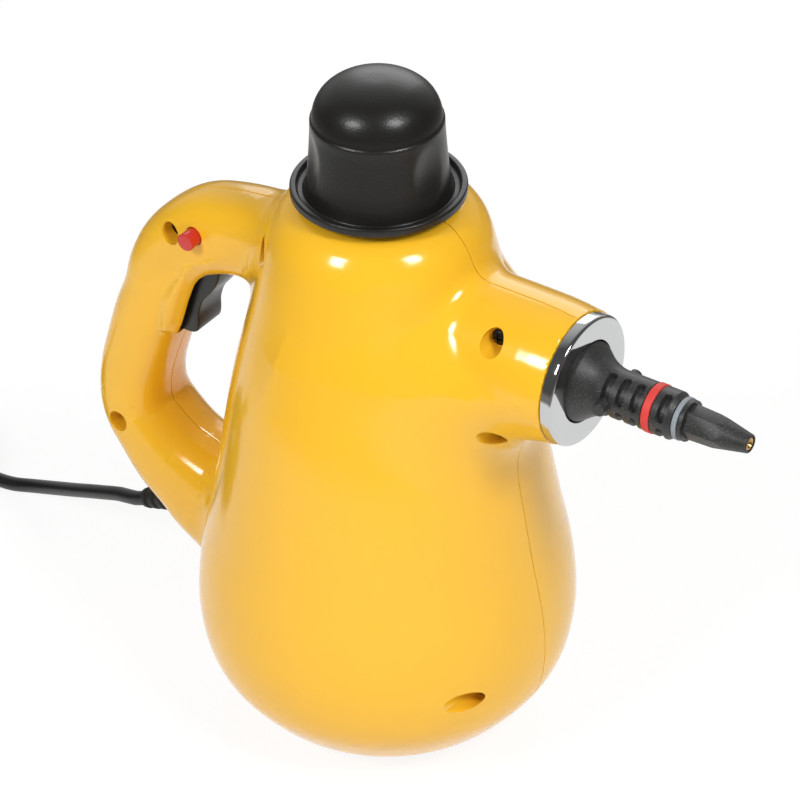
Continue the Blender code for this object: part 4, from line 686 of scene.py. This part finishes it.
# Where the strain relief's flange lies, and its direction
RELIEF_BASE = Vector((-96.0, 0.0, 52.0))
RELIEF_WAY = Vector((-0.9026, 0.0, -0.4305))

SIDE_R, SIDE_Z = np.array([tuple(p) for p in smooth_line(
    [(share * BODY_RADIUS, rise * BODY_TOP) for share, rise in BODY_OUTLINE], 14)]).T
SIDE_LEAN = 1 / np.hypot(1, np.gradient(SIDE_R, SIDE_Z))

HANDLE_MID, HANDLE_SIZE = (
    np.array([tuple(p) for p in smooth_line([row[part] for row in HANDLE], 12)])
    for part in (slice(0, 2), slice(2, 4))
)
handle_step = np.gradient(HANDLE_MID, axis=0)
HANDLE_WAY = handle_step / np.linalg.norm(handle_step, axis=1)[:, None]
handle_gaps = np.linalg.norm(np.diff(HANDLE_MID, axis=0), axis=1)
HANDLE_RUN = np.concatenate([[0], np.cumsum(handle_gaps)])

# What a distance is called where it is too far to matter, and how near the skin a point
# has to lie to take the skin's normal
FAR = 60.0
SKIN_TOLERANCE = 0.03

# Cells of the remeshed forms: a first skin and the void in it, then the visible skin
ROUGH_VOXEL = 4.0
VOID_VOXEL = 2.5
SKIN_VOXEL = 1.8


def soft_least(one, other, reach):
    """The lesser of two distances, with a soft fillet of the given reach between them."""
    near = np.clip(reach - np.abs(one - other), 0, None) / reach
    return np.minimum(one, other) - near * near * reach / 4


def soft_most(one, other, reach):
    """The greater of two distances, with a soft edge of the given reach."""
    return -soft_least(-one, -other, reach)


def body_distance(p):
    """How far points are from the pear-shaped body, less than 0 inside."""
    radius = np.hypot(p[:, 0], p[:, 1])
    side = (radius - np.interp(p[:, 2], SIDE_Z, SIDE_R)) * np.interp(p[:, 2], SIDE_Z, SIDE_LEAN)
    return soft_most(side, np.maximum(FOOT_LIFT - p[:, 2], p[:, 2] - BODY_TOP), 2.0)


def snout_distance(p):
    """How far points are from the snout, a bar that narrows to its end."""
    out = np.hypot(p[:, 1], p[:, 2] - SNOUT_AXIS)
    return np.maximum(out - np.interp(p[:, 0], *SNOUT_TAPER), SNOUT_START - p[:, 0])


def snout_fillet(p):
    """The fillet under and beside the snout is broad, the one on top is tight."""
    broad, tight = SNOUT_FILLETS
    up = (p[:, 2] - SNOUT_AXIS) / np.maximum(np.hypot(p[:, 1], p[:, 2] - SNOUT_AXIS), 1e-6)
    return broad - (broad - tight) * np.clip((up + 0.1) / 0.7, 0, 1)


def handle_distance(p):
    """How far points are from the handle, a run of rounded sections."""
    found = np.full(len(p), FAR)
    near = p[:, 0] < 0
    q = p[near]
    if len(q) == 0:
        return found
    flat = q[:, (0, 2)]
    best = np.empty(len(q), int)
    batch = 4000
    for start in range(0, len(q), batch):
        part = flat[start:start + batch]
        gap = ((part[:, None, :] - HANDLE_MID[None]) ** 2).sum(axis=2)
        best[start:start + batch] = gap.argmin(axis=1)
    along = ((flat - HANDLE_MID[best]) * HANDLE_WAY[best]).sum(axis=1)
    run = HANDLE_RUN[best] + along
    middle = np.stack([np.interp(run, HANDLE_RUN, HANDLE_MID[:, i]) for i in (0, 1)], axis=1)
    way = np.stack([np.interp(run, HANDLE_RUN, HANDLE_WAY[:, i]) for i in (0, 1)], axis=1)
    deep = np.interp(run, HANDLE_RUN, HANDLE_SIZE[:, 0])
    wide = np.interp(run, HANDLE_RUN, HANDLE_SIZE[:, 1])
    across = (flat[:, 0] - middle[:, 0]) * way[:, 1] - (flat[:, 1] - middle[:, 1]) * way[:, 0]
    far = np.hypot(across, q[:, 1]) + 1e-6
    share = np.abs(across / deep) ** HANDLE_POWER + np.abs(q[:, 1] / wide) ** HANDLE_POWER
    value = far - far / (share ** (1 / HANDLE_POWER) + 1e-9)
    past = np.maximum(-run, run - HANDLE_RUN[-1])
    found[near] = np.maximum(value, past)
    return found


def guard_distance(p):
    """The raised collar round the trigger: an outline in the side view, with soft edges."""
    found = np.full(len(p), FAR)
    near = (p[:, 0] < -50) & (p[:, 0] > -110) & (p[:, 2] > 125) & (p[:, 2] < 200)
    q = p[near]
    if len(q) == 0:
        return found
    flat = q[:, (0, 2)]
    corners = np.array(GUARD)
    least = np.full(len(q), 1e9)
    inside = np.zeros(len(q), bool)
    for a, b in zip(corners, np.roll(corners, -1, axis=0)):
        edge = b - a
        t = np.clip(((flat - a) @ edge) / (edge @ edge), 0, 1)
        least = np.minimum(least, np.linalg.norm(flat - a - t[:, None] * edge, axis=1))
        crosses = (a[1] > flat[:, 1]) != (b[1] > flat[:, 1])
        at = a[0] + (flat[:, 1] - a[1]) * edge[0] / (edge[1] if edge[1] else 1e-9)
        inside ^= crosses & (flat[:, 0] < at)
    value = np.where(inside, -least, least)
    out = np.abs(q[:, 1]) - GUARD_HALF
    slope = (value + out + GUARD_CHAMFER) / math.sqrt(2)
    found[near] = soft_most(soft_most(value, out, 0.5), slope, 1.2)
    return found


def housing_distance(p):
    """How far points are from the housing's outside, with its fillets."""
    whole = soft_least(body_distance(p), snout_distance(p), snout_fillet(p))
    whole = soft_least(whole, handle_distance(p), HANDLE_FILLET)
    whole = soft_least(whole, guard_distance(p), GUARD_FILLET)
    return np.maximum(whole, p[:, 0] - SNOUT_END - SNOUT_OVERRUN)


def uphill(p):
    """The direction in which the distance grows fastest, and its rate."""
    step = 0.02
    slope = np.empty_like(p)
    for axis in range(3):
        shift = np.zeros(3)
        shift[axis] = step
        slope[:, axis] = (housing_distance(p + shift) - housing_distance(p - shift)) / (2 * step)
    rate = np.linalg.norm(slope, axis=1)
    return slope / np.maximum(rate, 1e-6)[:, None], np.maximum(rate, 0.3)


def settled(bm, level):
    """Evens a mesh out and settles its points on the housing's skin, or below it."""
    rounds, longest = 4, 3
    for turn in range(rounds):
        if turn:
            bmesh.ops.smooth_vert(bm, verts=bm.verts, factor=0.5, use_axis_x=True,
                                  use_axis_y=True, use_axis_z=True)
        p = np.array([v.co for v in bm.verts])
        for _ in range(3):
            way, rate = uphill(p)
            move = (housing_distance(p) / rate)[:, None] * way
            p -= np.clip(move, -longest, longest)
        if turn == rounds - 1 and level:
            way, _ = uphill(p)
            p += way * level
        for v, co in zip(bm.verts, p):
            v.co = co
    return bm


def rough_handle():
    """The handle as a run of round sections with closed ends."""
    bm = bmesh.new()
    ring = bmesh.ops.create_circle(bm, segments=32, radius=1.0)["verts"]
    edges = list(bm.edges)
    bm.faces.new(ring)
    last = Matrix.Identity(4)
    for (x, z), (deep, wide), (ax, az) in zip(
        HANDLE_MID[::6], HANDLE_SIZE[::6], HANDLE_WAY[::6],
    ):
        if last != Matrix.Identity(4):
            ring, edges = next_ring(bm, edges)
        place = Matrix((
            (az * deep, 0, ax, x), (0, wide, 0, 0), (-ax * deep, 0, az, z), (0, 0, 0, 1),
        ))
        bmesh.ops.transform(bm, matrix=place @ last.inverted(), verts=ring)
        last = place
    bmesh.ops.holes_fill(bm, edges=edges)
    outward(bm)
    return bm


def rough_housing():
    """Body, snout, handle and guard as four overlapping closed forms."""
    height = BODY_TOP - FOOT_LIFT
    side = [(share * BODY_RADIUS, FOOT_LIFT + rise * height) for share, rise in BODY_OUTLINE]
    length = SNOUT_END - SNOUT_START
    snout = [(0, 0), (SNOUT_RADIUS, 0), (SNOUT_RADIUS, length), (0, length)]
    return joined([
        spun([(0, FOOT_LIFT), *side, (0, BODY_TOP)], 72),
        spun(snout, 48, place=along_snout(SNOUT_START)),
        rough_handle(),
        pushed(GUARD, GUARD_HALF),
    ])


def skinned(bm, voxel):
    """One closed skin of even quads round the given forms."""
    made = worked(bm)
    step = made.modifiers.new("skin", "REMESH")
    step.mode = "VOXEL"
    step.voxel_size = voxel
    step.adaptivity = 0
    return applied(made)


def half_of(shell, side):
    """What lies on one side of the parting plane."""
    size = Vector((400, 200, 600))
    return combined(shell, box(size, (0, side * (PARTING + size.y / 2), 200)), "INTERSECT")


def soften_parting(bm, side):
    """Breaks the edges of the parting face, which show as a fine dark line."""
    edge = 0.2
    flat = [f for f in bm.faces if abs(f.normal.y) > 0.999
            and abs(f.calc_center_median().y - side * PARTING) < 0.001]
    bmesh.ops.inset_region(bm, faces=flat, thickness=edge, depth=edge, use_even_offset=True,
                           use_boundary=True)


def rod(radius, start, end, steps, place=None):
    """A plain rod along the Z axis of its place."""
    return spun([(0, start), (radius, start), (radius, end), (0, end)], steps, place=place)


def cutters(side):
    """What is cut from one half: screw bores, trigger slot, button hole and openings."""
    near = side < 0
    tools = []
    for place, seat in SCREWS:
        if near:
            tools.append(spun(
                [(0, -4), (SHANK_HOLE, -4), (SHANK_HOLE, seat), (BORE_RADIUS, seat),
                 (BORE_RADIUS, BORE_END), (0, BORE_END)], 64, place=from_side(place)))
        else:
            tools.append(rod(SHANK_HOLE, -10.6, 4, 48, from_side(place)))
    start = 0 if near else -60
    tools.append(rod(LOCK_RADIUS + CLEAR, start, start + 60, 48, from_side(LOCK)))
    tools.append(pushed(SLOT, SLOT_HALF))
    # The spigot's hole, and the flat cut of the snout's end
    hole, deep, wide, past = SPIGOT_RADIUS + CLEAR, 8, 34, 12
    tools.append(spun([(0, 0), (hole, 0), (hole, deep), (wide, deep), (wide, past), (0, past)],
                      96, place=along_snout(SNOUT_END - deep)))
    # The openings round the base plate, the filler neck and the strain relief
    tools.append(rod(38.0, -4, 8, 96))
    tools.append(rod(13.8, 215, 236, 48))
    tools.append(rod(RELIEF_RADIUS + CLEAR, -7.5, 26, 32, towards(RELIEF_BASE, RELIEF_WAY)))
    return joined(tools)


def housing_half(name, node, side, shell):
    """One moulded half: a thin wall with its bores, slot and openings."""
    half = half_of(shell, side)
    half = combined(half, cutters(side), "DIFFERENCE")
    soften_parting(half, side)
    made = piece(name, half, yellow_abs, "housing", [node], sharp=38.0)
    true_normals(made.data)


def true_normals(mesh):
    """Gives the outer skin the exact normals of its form, so that it mirrors cleanly."""
    count = len(mesh.vertices)
    p = np.empty(count * 3)
    mesh.vertices.foreach_get("co", p)
    p = p.reshape(-1, 3) / MM
    on_skin = np.abs(housing_distance(p)) < SKIN_TOLERANCE
    way = np.zeros((count, 3))
    way[on_skin] = uphill(p[on_skin])[0]
    corners = np.empty(len(mesh.loops) * 3)
    mesh.corner_normals.foreach_get("vector", corners)
    corners = corners.reshape(-1, 3)
    owner = np.empty(len(mesh.loops), int)
    mesh.loops.foreach_get("vertex_index", owner)
    for face in mesh.polygons:
        loops = list(face.loop_indices)
        verts = owner[loops]
        if on_skin[verts].all() and (way[verts] @ np.array(face.normal)).min() > 0.8:
            corners[loops] = way[verts]
    mesh.normals_split_custom_set(corners.tolist())


def housing():
    """Both halves: one skin made hollow round its screw bosses, then parted."""
    outline = [(0, -BORE_END), (CATCH_RADIUS, -BORE_END), (CATCH_RADIUS, -4),
               (BOSS_RADIUS, -4), (BOSS_RADIUS, BORE_END), (0, BORE_END)]
    bosses = [spun(outline, 32, place=from_side(place)) for place, _ in SCREWS]
    void = skinned(settled(skinned(rough_housing(), ROUGH_VOXEL), -WALL), VOID_VOXEL)
    void = combined(void, joined(bosses), "DIFFERENCE")
    shell = combined(settled(skinned(rough_housing(), SKIN_VOXEL), 0.0), void, "DIFFERENCE")
    housing_half("housing_skin_left", "housing_left", -1, shell.copy())
    housing_half("housing_skin_right", "housing_right", 1, shell)


housing()


# --- snout ring and nozzle

def snout_ring():
    """The chromed trim ring: a flat face, rounded rims and a spigot in the snout."""
    outline = rounded([
        (15.4, 4.54, 0.5), (24.56, 4.54, 1.3), (24.56, 0.0, 0.3), (SPIGOT_RADIUS, 0.0, 0),
        (SPIGOT_RADIUS, -2.5, 0), (15.4, -2.5, 0),
    ], closed=True)
    bm = spun(outline, 128, closed=True, place=along_snout(SNOUT_END + CLEAR))
    piece("chrome_ring", bm, chrome, "housing", ["snout_ring"])


snout_ring()


# The nozzle's heights run from the snout ring's face. The barrel carries four rows of
# slots, four to a row, and two bayonet pins; the tip has six flats that lean inwards.
BARREL = 8.9
SLOT_ROWS = (11.83, 17.65, 23.47, 34.31)
NOZZLE_OUTLINE = (
    (2.2, -29.5, 0), (3.5, -29.5, 0.5), (3.5, -19.0, 0), (11.0, -19.0, 0.8),
    (11.0, -10.64, 0), (19.0, -10.64, 0), (19.0, -7.64, 0), (15.0, -7.64, 0),
    (15.0, -0.2, 0), (14.5, 1.0, 0.5), (13.4, 2.5, 0), (12.0, 4.3, 0), (10.8, 6.2, 0),
    (9.9, 8.2, 0), (9.2, 10.4, 0), (BARREL, 12.4, 1.5), (BARREL, 26.6, 0.3), (7.9, 26.75, 0),
    (7.9, 30.1, 0), (BARREL, 30.25, 0.3), (BARREL, 36.4, 0.7), (8.2, 37.4, 0.3),
    (7.7, 38.2, 0.3), (6.8, 38.4, 0), (6.8, 40.5, 0), (7.7, 40.7, 0.3), (7.6, 41.8, 0),
    (7.6, 45.2, 0), (3.4, 66.1, 0.5), (2.7, 66.1, 0), (2.7, 57.6, 0), (2.2, 57.6, 0),
)
TIP_FLATS = 6
FLAT_START = 42.2
FLAT_RADIUS = 5.65
FLAT_LEAN = -0.033
PIN_AHEAD = 12.03


def curved_slot(row, angle):
    """A cutter for one slot: a stadium bent round the barrel."""
    end_radius, half_length, low, depth = 1.62, 4.2, 6.9, 4.0
    bm = bmesh.new()
    bmesh.ops.create_circle(bm, segments=24, radius=end_radius, cap_ends=True)
    for v in bm.verts:
        v.co.x += math.copysign(half_length, v.co.x)
    face = bm.faces[:]
    bmesh.ops.translate(bm, vec=(0, 0, low), verts=bm.verts)
    grown = bmesh.ops.extrude_face_region(bm, geom=face)
    bmesh.ops.translate(bm, vec=(0, 0, depth), verts=new_points(grown))
    for cut in (-4.8, -3.2, -1.6, 0.0, 1.6, 3.2, 4.8):
        bmesh.ops.bisect_plane(bm, geom=bm.verts[:] + bm.edges[:] + bm.faces[:], dist=0.0005,
                               plane_co=(cut, 0, 0), plane_no=(1, 0, 0))
    for v in bm.verts:
        turn = angle + v.co.x / BARREL
        v.co = (v.co.z * math.cos(turn), v.co.z * math.sin(turn), row + v.co.y)
    outward(bm)
    return bm


def sharp_edges(bm, bend):
    """Edges between two faces that meet at more than an angle."""
    return [e for e in bm.edges if len(e.link_faces) == 2 and e.calc_face_angle(0) > bend]


def nozzle_body(place):
    """Bell, slotted barrel with two seal grooves and bayonet pins, and a six-sided tip."""
    body = spun(rounded(NOZZLE_OUTLINE, closed=True), 96, closed=True)
    slots = [curved_slot(row, TAU * (quarter + 0.5) / 4)
             for row in SLOT_ROWS for quarter in range(4)]
    body = combined(body, joined(slots), "DIFFERENCE")
    rims = [e for e in sharp_edges(body, 0.9)
            if all(abs(math.hypot(v.co.x, v.co.y) - BARREL) < 0.05 for v in e.verts)
            and all(10 < v.co.z < 36.5 for v in e.verts)]
    bevelled(body, rims, 0.25, 2)
    for step in range(TIP_FLATS):
        tool = box((6, 12, 18), (3, 0, 9))
        lean = Matrix.Rotation(FLAT_LEAN, 4, "Y")
        turn = Matrix.Rotation(TAU * (step + 0.5) / TIP_FLATS, 4, "Z")
        spot = turn @ Matrix.Translation((FLAT_RADIUS, 0, FLAT_START)) @ lean
        bmesh.ops.transform(tool, matrix=spot, verts=tool.verts)
        body = combined(body, tool, "DIFFERENCE")
    ridges = [e for e in sharp_edges(body, 0.3) if all(
        42.1 < v.co.z < 60 and math.hypot(v.co.x, v.co.y) > 4.5 for v in e.verts)]
    bevelled(body, ridges, 0.18, 2)
    bmesh.ops.transform(body, matrix=place, verts=body.verts)
    pins = rounded([(0, 7.0, 0), (2.5, 7.0, 0), (2.5, 12.9, 0.4), (0, 12.9, 0)])
    for side in (-1, 1):
        spot = towards((RING_FACE + PIN_AHEAD, 0, SNOUT_AXIS), (0, side, 0))
        body = combined(body, spun(pins, 32, place=spot), "UNION")
    piece("nozzle_moulding", body, nylon, "housing", ["nozzle_body"],
          sharp=28.0)


def nozzle():
    """The nozzle's moulding, its two seals and the brass insert in its tip."""
    place = along_snout(RING_FACE)
    nozzle_body(place)
    for name, node, finish, slot, low, high, inner, outer in (
        ("red_ring", "red_seal_ring", red_silicone, "red_seal", 26.9, 30.0, 8.0, 9.2),
        ("grey_ring", "grey_seal_ring", grey_silicone, "grey_seal", 38.5, 40.4, 6.9, 7.95),
    ):
        ring = rounded([(inner, low, 0.2), (outer, low, 0.5), (outer, high, 0.5),
                        (inner, high, 0.2)], closed=True)
        piece(name, spun(ring, 96, closed=True, place=place), finish, "housing", [node])
    ring = rounded([(0.9, 58.0, 0), (2.4, 58.0, 0), (2.4, 65.8, 0.3), (1.7, 65.8, 0.2),
                    (1.3, 65.1, 0), (0.9, 64.4, 0)], closed=True)
    insert = spun(ring, 48, closed=True, place=place)
    piece("brass_insert", insert, brass, "housing", ["nozzle_insert"])


nozzle()


# --- cap

def press_pockets(bm):
    """Presses three soft grip pockets into the cap's barrel."""
    count, first_turn, rise = 3, -7.8, 16
    half_width, half_height, depth = 7.4, 11.8, 1.7
    for v in bm.verts:
        radius = math.hypot(v.co.x, v.co.y)
        if radius < 23.2:
            continue
        for step in range(count):
            turn = math.atan2(v.co.y, v.co.x) - math.radians(first_turn + 360 * step / count)
            across = math.remainder(turn, TAU) * radius / half_width
            share = 1 - across ** 2 - ((v.co.z - CAP_FOOT - rise) / half_height) ** 2
            if share > 0:
                v.co.xy *= 1 - depth * share ** 1.4 / radius


def cap():
    """The filler cap: brim with a rounded lip, barrel with three grip pockets, dome."""
    foot, ridge, top, cavity, brim = CAP_FOOT, 260.6, 276.6, 20.85, 31.84
    outline = rounded([
        (cavity, foot, 0.3), (brim, foot, 0.7), (brim, foot + 3.3, 0.9),
        (29.7, foot + 3.3, 0.5), (28.9, foot + 1.5, 0.5), (27.1, foot + 1.2, 0.7),
        (26.3, foot + 3.4, 0),
    ])
    outline += smooth_line([
        (26.3, foot + 3.4), (25.95, foot + 5.0), (25.6, foot + 7.5), (25.15, foot + 11.0),
        (24.75, foot + 15.6), (24.38, foot + 20.6), (24.05, foot + 26), (23.95, ridge - 0.6),
    ], 5)[1:]
    outline += smooth_line([
        (23.88, ridge - 0.2), (23.6, ridge + 0.15), (23.3, ridge + 0.9), (22.95, ridge + 2.8),
        (22.1, ridge + 5.5), (20.4, ridge + 8.5), (17.5, ridge + 11.3), (13.7, ridge + 13.55),
        (9.3, ridge + 15.0), (4.6, ridge + 15.82), (0, top),
    ], 4)
    # The inside: ceiling, the sleeve that presses on the spring, and the cavity's wall
    ceiling, sleeve = ridge + 9.0, foot + 27.9
    outline += rounded([
        (0, ceiling, 0), (9.5, ceiling, 0.5), (9.5, sleeve, 0.4), (13.5, sleeve, 0.4),
        (13.5, ceiling, 0.6), (17.95, ceiling, 2.0), (cavity, ceiling - 5.8, 2.0),
        (cavity, foot, 0),
    ])
    bm = spun(outline, 160)
    press_pockets(bm)
    piece("cap_shell", bm, black_pp, "cap_outer", ["cap_outer"], sharp=26.0)


cap()


# --- trigger, button, screws

# The trigger in the side view: the finger's side, then what lies in the handle
TRIGGER_LINE = (
    (-68.7, 174.3), (-70.6, 167.6), (-72.4, 163.9), (-75.0, 160.3), (-78.4, 155.9),
    (-80.4, 150.2), (-80.6, 146.0), (-80.9, 143.2), (-81.7, 141.2), (-83.2, 140.1),
)
TRIGGER_REST = (
    (-85.4, 139.6), (-90.0, 139.6), (-93.1, 142.3), (-90.0, 155.0),
    (-84.0, 168.0), (-78.0, 178.0), (-74.6, 186.6), (-66.8, 186.6), (-66.8, 180.0),
)


def trigger():
    """The trigger: a finger rest with soft edges, on its pin in the handle."""
    half_width, longest, softness = 7.5, 14, 2.8
    bm = pushed([*smooth_line(TRIGGER_LINE, 4), *TRIGGER_REST], half_width)
    sides = [e for e in bm.edges if e.calc_length() < longest and len(e.link_faces) == 2
             and any(len(f.verts) > 5 for f in e.link_faces)]
    bevelled(bm, sides, softness, 6)
    piece("trigger_moulding", bm, black_pp, "trigger", ["trigger"], sharp=30.0)


trigger()


def lock_button():
    """The red bolt across the handle, with a flat end and a small soft edge."""
    low, high, waist, waist_end, radius = -14.79, 19.79, 2, 8, LOCK_RADIUS
    outline = rounded([
        (0, low, 0), (radius, low, 0.5), (radius, -waist_end, 0), (waist, -waist_end, 0),
        (waist, waist_end, 0), (radius, waist_end, 0), (radius, high, 0.5), (0, high, 0),
    ])
    bm = spun(outline, 48, place=from_side(LOCK))
    piece("button_bolt", bm, red_abs, "lock_button", ["lock_button"])


lock_button()


def screws():
    """Pan-head screws with a cross recess, deep in their bores."""
    tip, shank, wide, rim, crown = -10, 1.5, 3.1, 1.2, 2.2
    for number, (place, seat) in enumerate(SCREWS, 1):
        head = seat + CLEAR
        bm = spun(rounded([
            (0, tip, 0), (shank, tip, 0.6), (shank, head, 0), (wide, head, 0.2),
            (wide, head + rim, 1.0), (0, head + crown, 0),
        ]), 40)
        for size in ((0.7, 3.4, 2.4), (3.4, 0.7, 2.4)):
            bm = combined(bm, box(size, (0, 0, head + crown)), "DIFFERENCE")
        bmesh.ops.transform(bm, matrix=from_side(place), verts=bm.verts)
        piece(f"cross_screw_{number}", bm, dark_steel, "housing",
              [f"housing_screw_{number}"])


screws()


def strain_relief():
    """The tapered sleeve with three grooves that carries the cord out of the housing."""
    bore, flange, back, front = 3.1, 7.6, -9.5, -7.5
    first, pitch, end, narrowed = 8.7, 4.8, 25.5, 1.6
    outline = [(bore, back, 0), (flange, back, 0.3), (flange, front, 0.3),
               (RELIEF_RADIUS, front, 0), (RELIEF_RADIUS, first, 0.3)]
    for step in range(3):
        low = first + pitch * step
        radius = RELIEF_RADIUS - narrowed * (low - first) / (end - first)
        outline += [(radius, low + 2.4, 0.3), (radius - 0.8, low + 2.9, 0.2),
                    (radius - 0.8, low + 4.3, 0.2), (radius - 0.15, low + pitch, 0.3)]
    outline += [(RELIEF_RADIUS - narrowed, end, 0.5), (bore, end, 0)]
    bm = spun(rounded(outline, closed=True), 48, closed=True,
              place=towards(RELIEF_BASE, RELIEF_WAY))
    piece("cord_sleeve", bm, rubber, "housing", ["strain_relief"])


strain_relief()


def cap_spring():
    """The coil spring under the cap, wound at one length to fill its part's box."""
    low, high = (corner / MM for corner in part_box("cap_spring"))
    wire, radius, turns, steps, travel = 0.8, 11.6, 4, 192, 2.0
    middle = (low + high) / 2
    height = high.z - low.z
    bm = bmesh.new()
    bmesh.ops.create_circle(bm, segments=12, radius=wire)
    bmesh.ops.rotate(bm, matrix=Matrix.Rotation(math.pi / 2, 3, "X"), verts=bm.verts)
    bmesh.ops.translate(bm, vec=(middle.x + radius, middle.y, low.z + wire), verts=bm.verts)
    bmesh.ops.spin(
        bm, geom=bm.verts[:] + bm.edges[:], cent=(middle.x, middle.y, 0), axis=(0, 0, 1),
        dvec=(0, 0, (height - 2 * wire) / steps), angle=TAU * turns, steps=steps)
    bmesh.ops.holes_fill(bm, edges=[edge for edge in bm.edges if edge.is_boundary])
    outward(bm)
    made = piece("cap_coil_spring", bm, steel, "cap_core", ["cap_spring"])
    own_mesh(made)


cap_spring()


# --- carried-over pieces

FINISHES = {
    "yellow_housing": yellow_abs, "black_plastic": black_pp, "nozzle_plastic": nylon,
    "red_button": red_abs, "red_seal": red_silicone, "grey_seal": grey_silicone,
    "chrome_trim": chrome, "brass_fittings": brass, "steel_hardware": steel,
    "cast_boiler": cast_metal, "black_rubber": rubber, "cord_sheath": pvc,
    "white_insulation": white_sleeve,
}


def dress_carried():
    """Every piece kept from the part gets its real finish."""
    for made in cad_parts.values():
        for held in made.material_slots:
            held.material = FINISHES[held.material.name.split(".")[0]]


dress_carried()
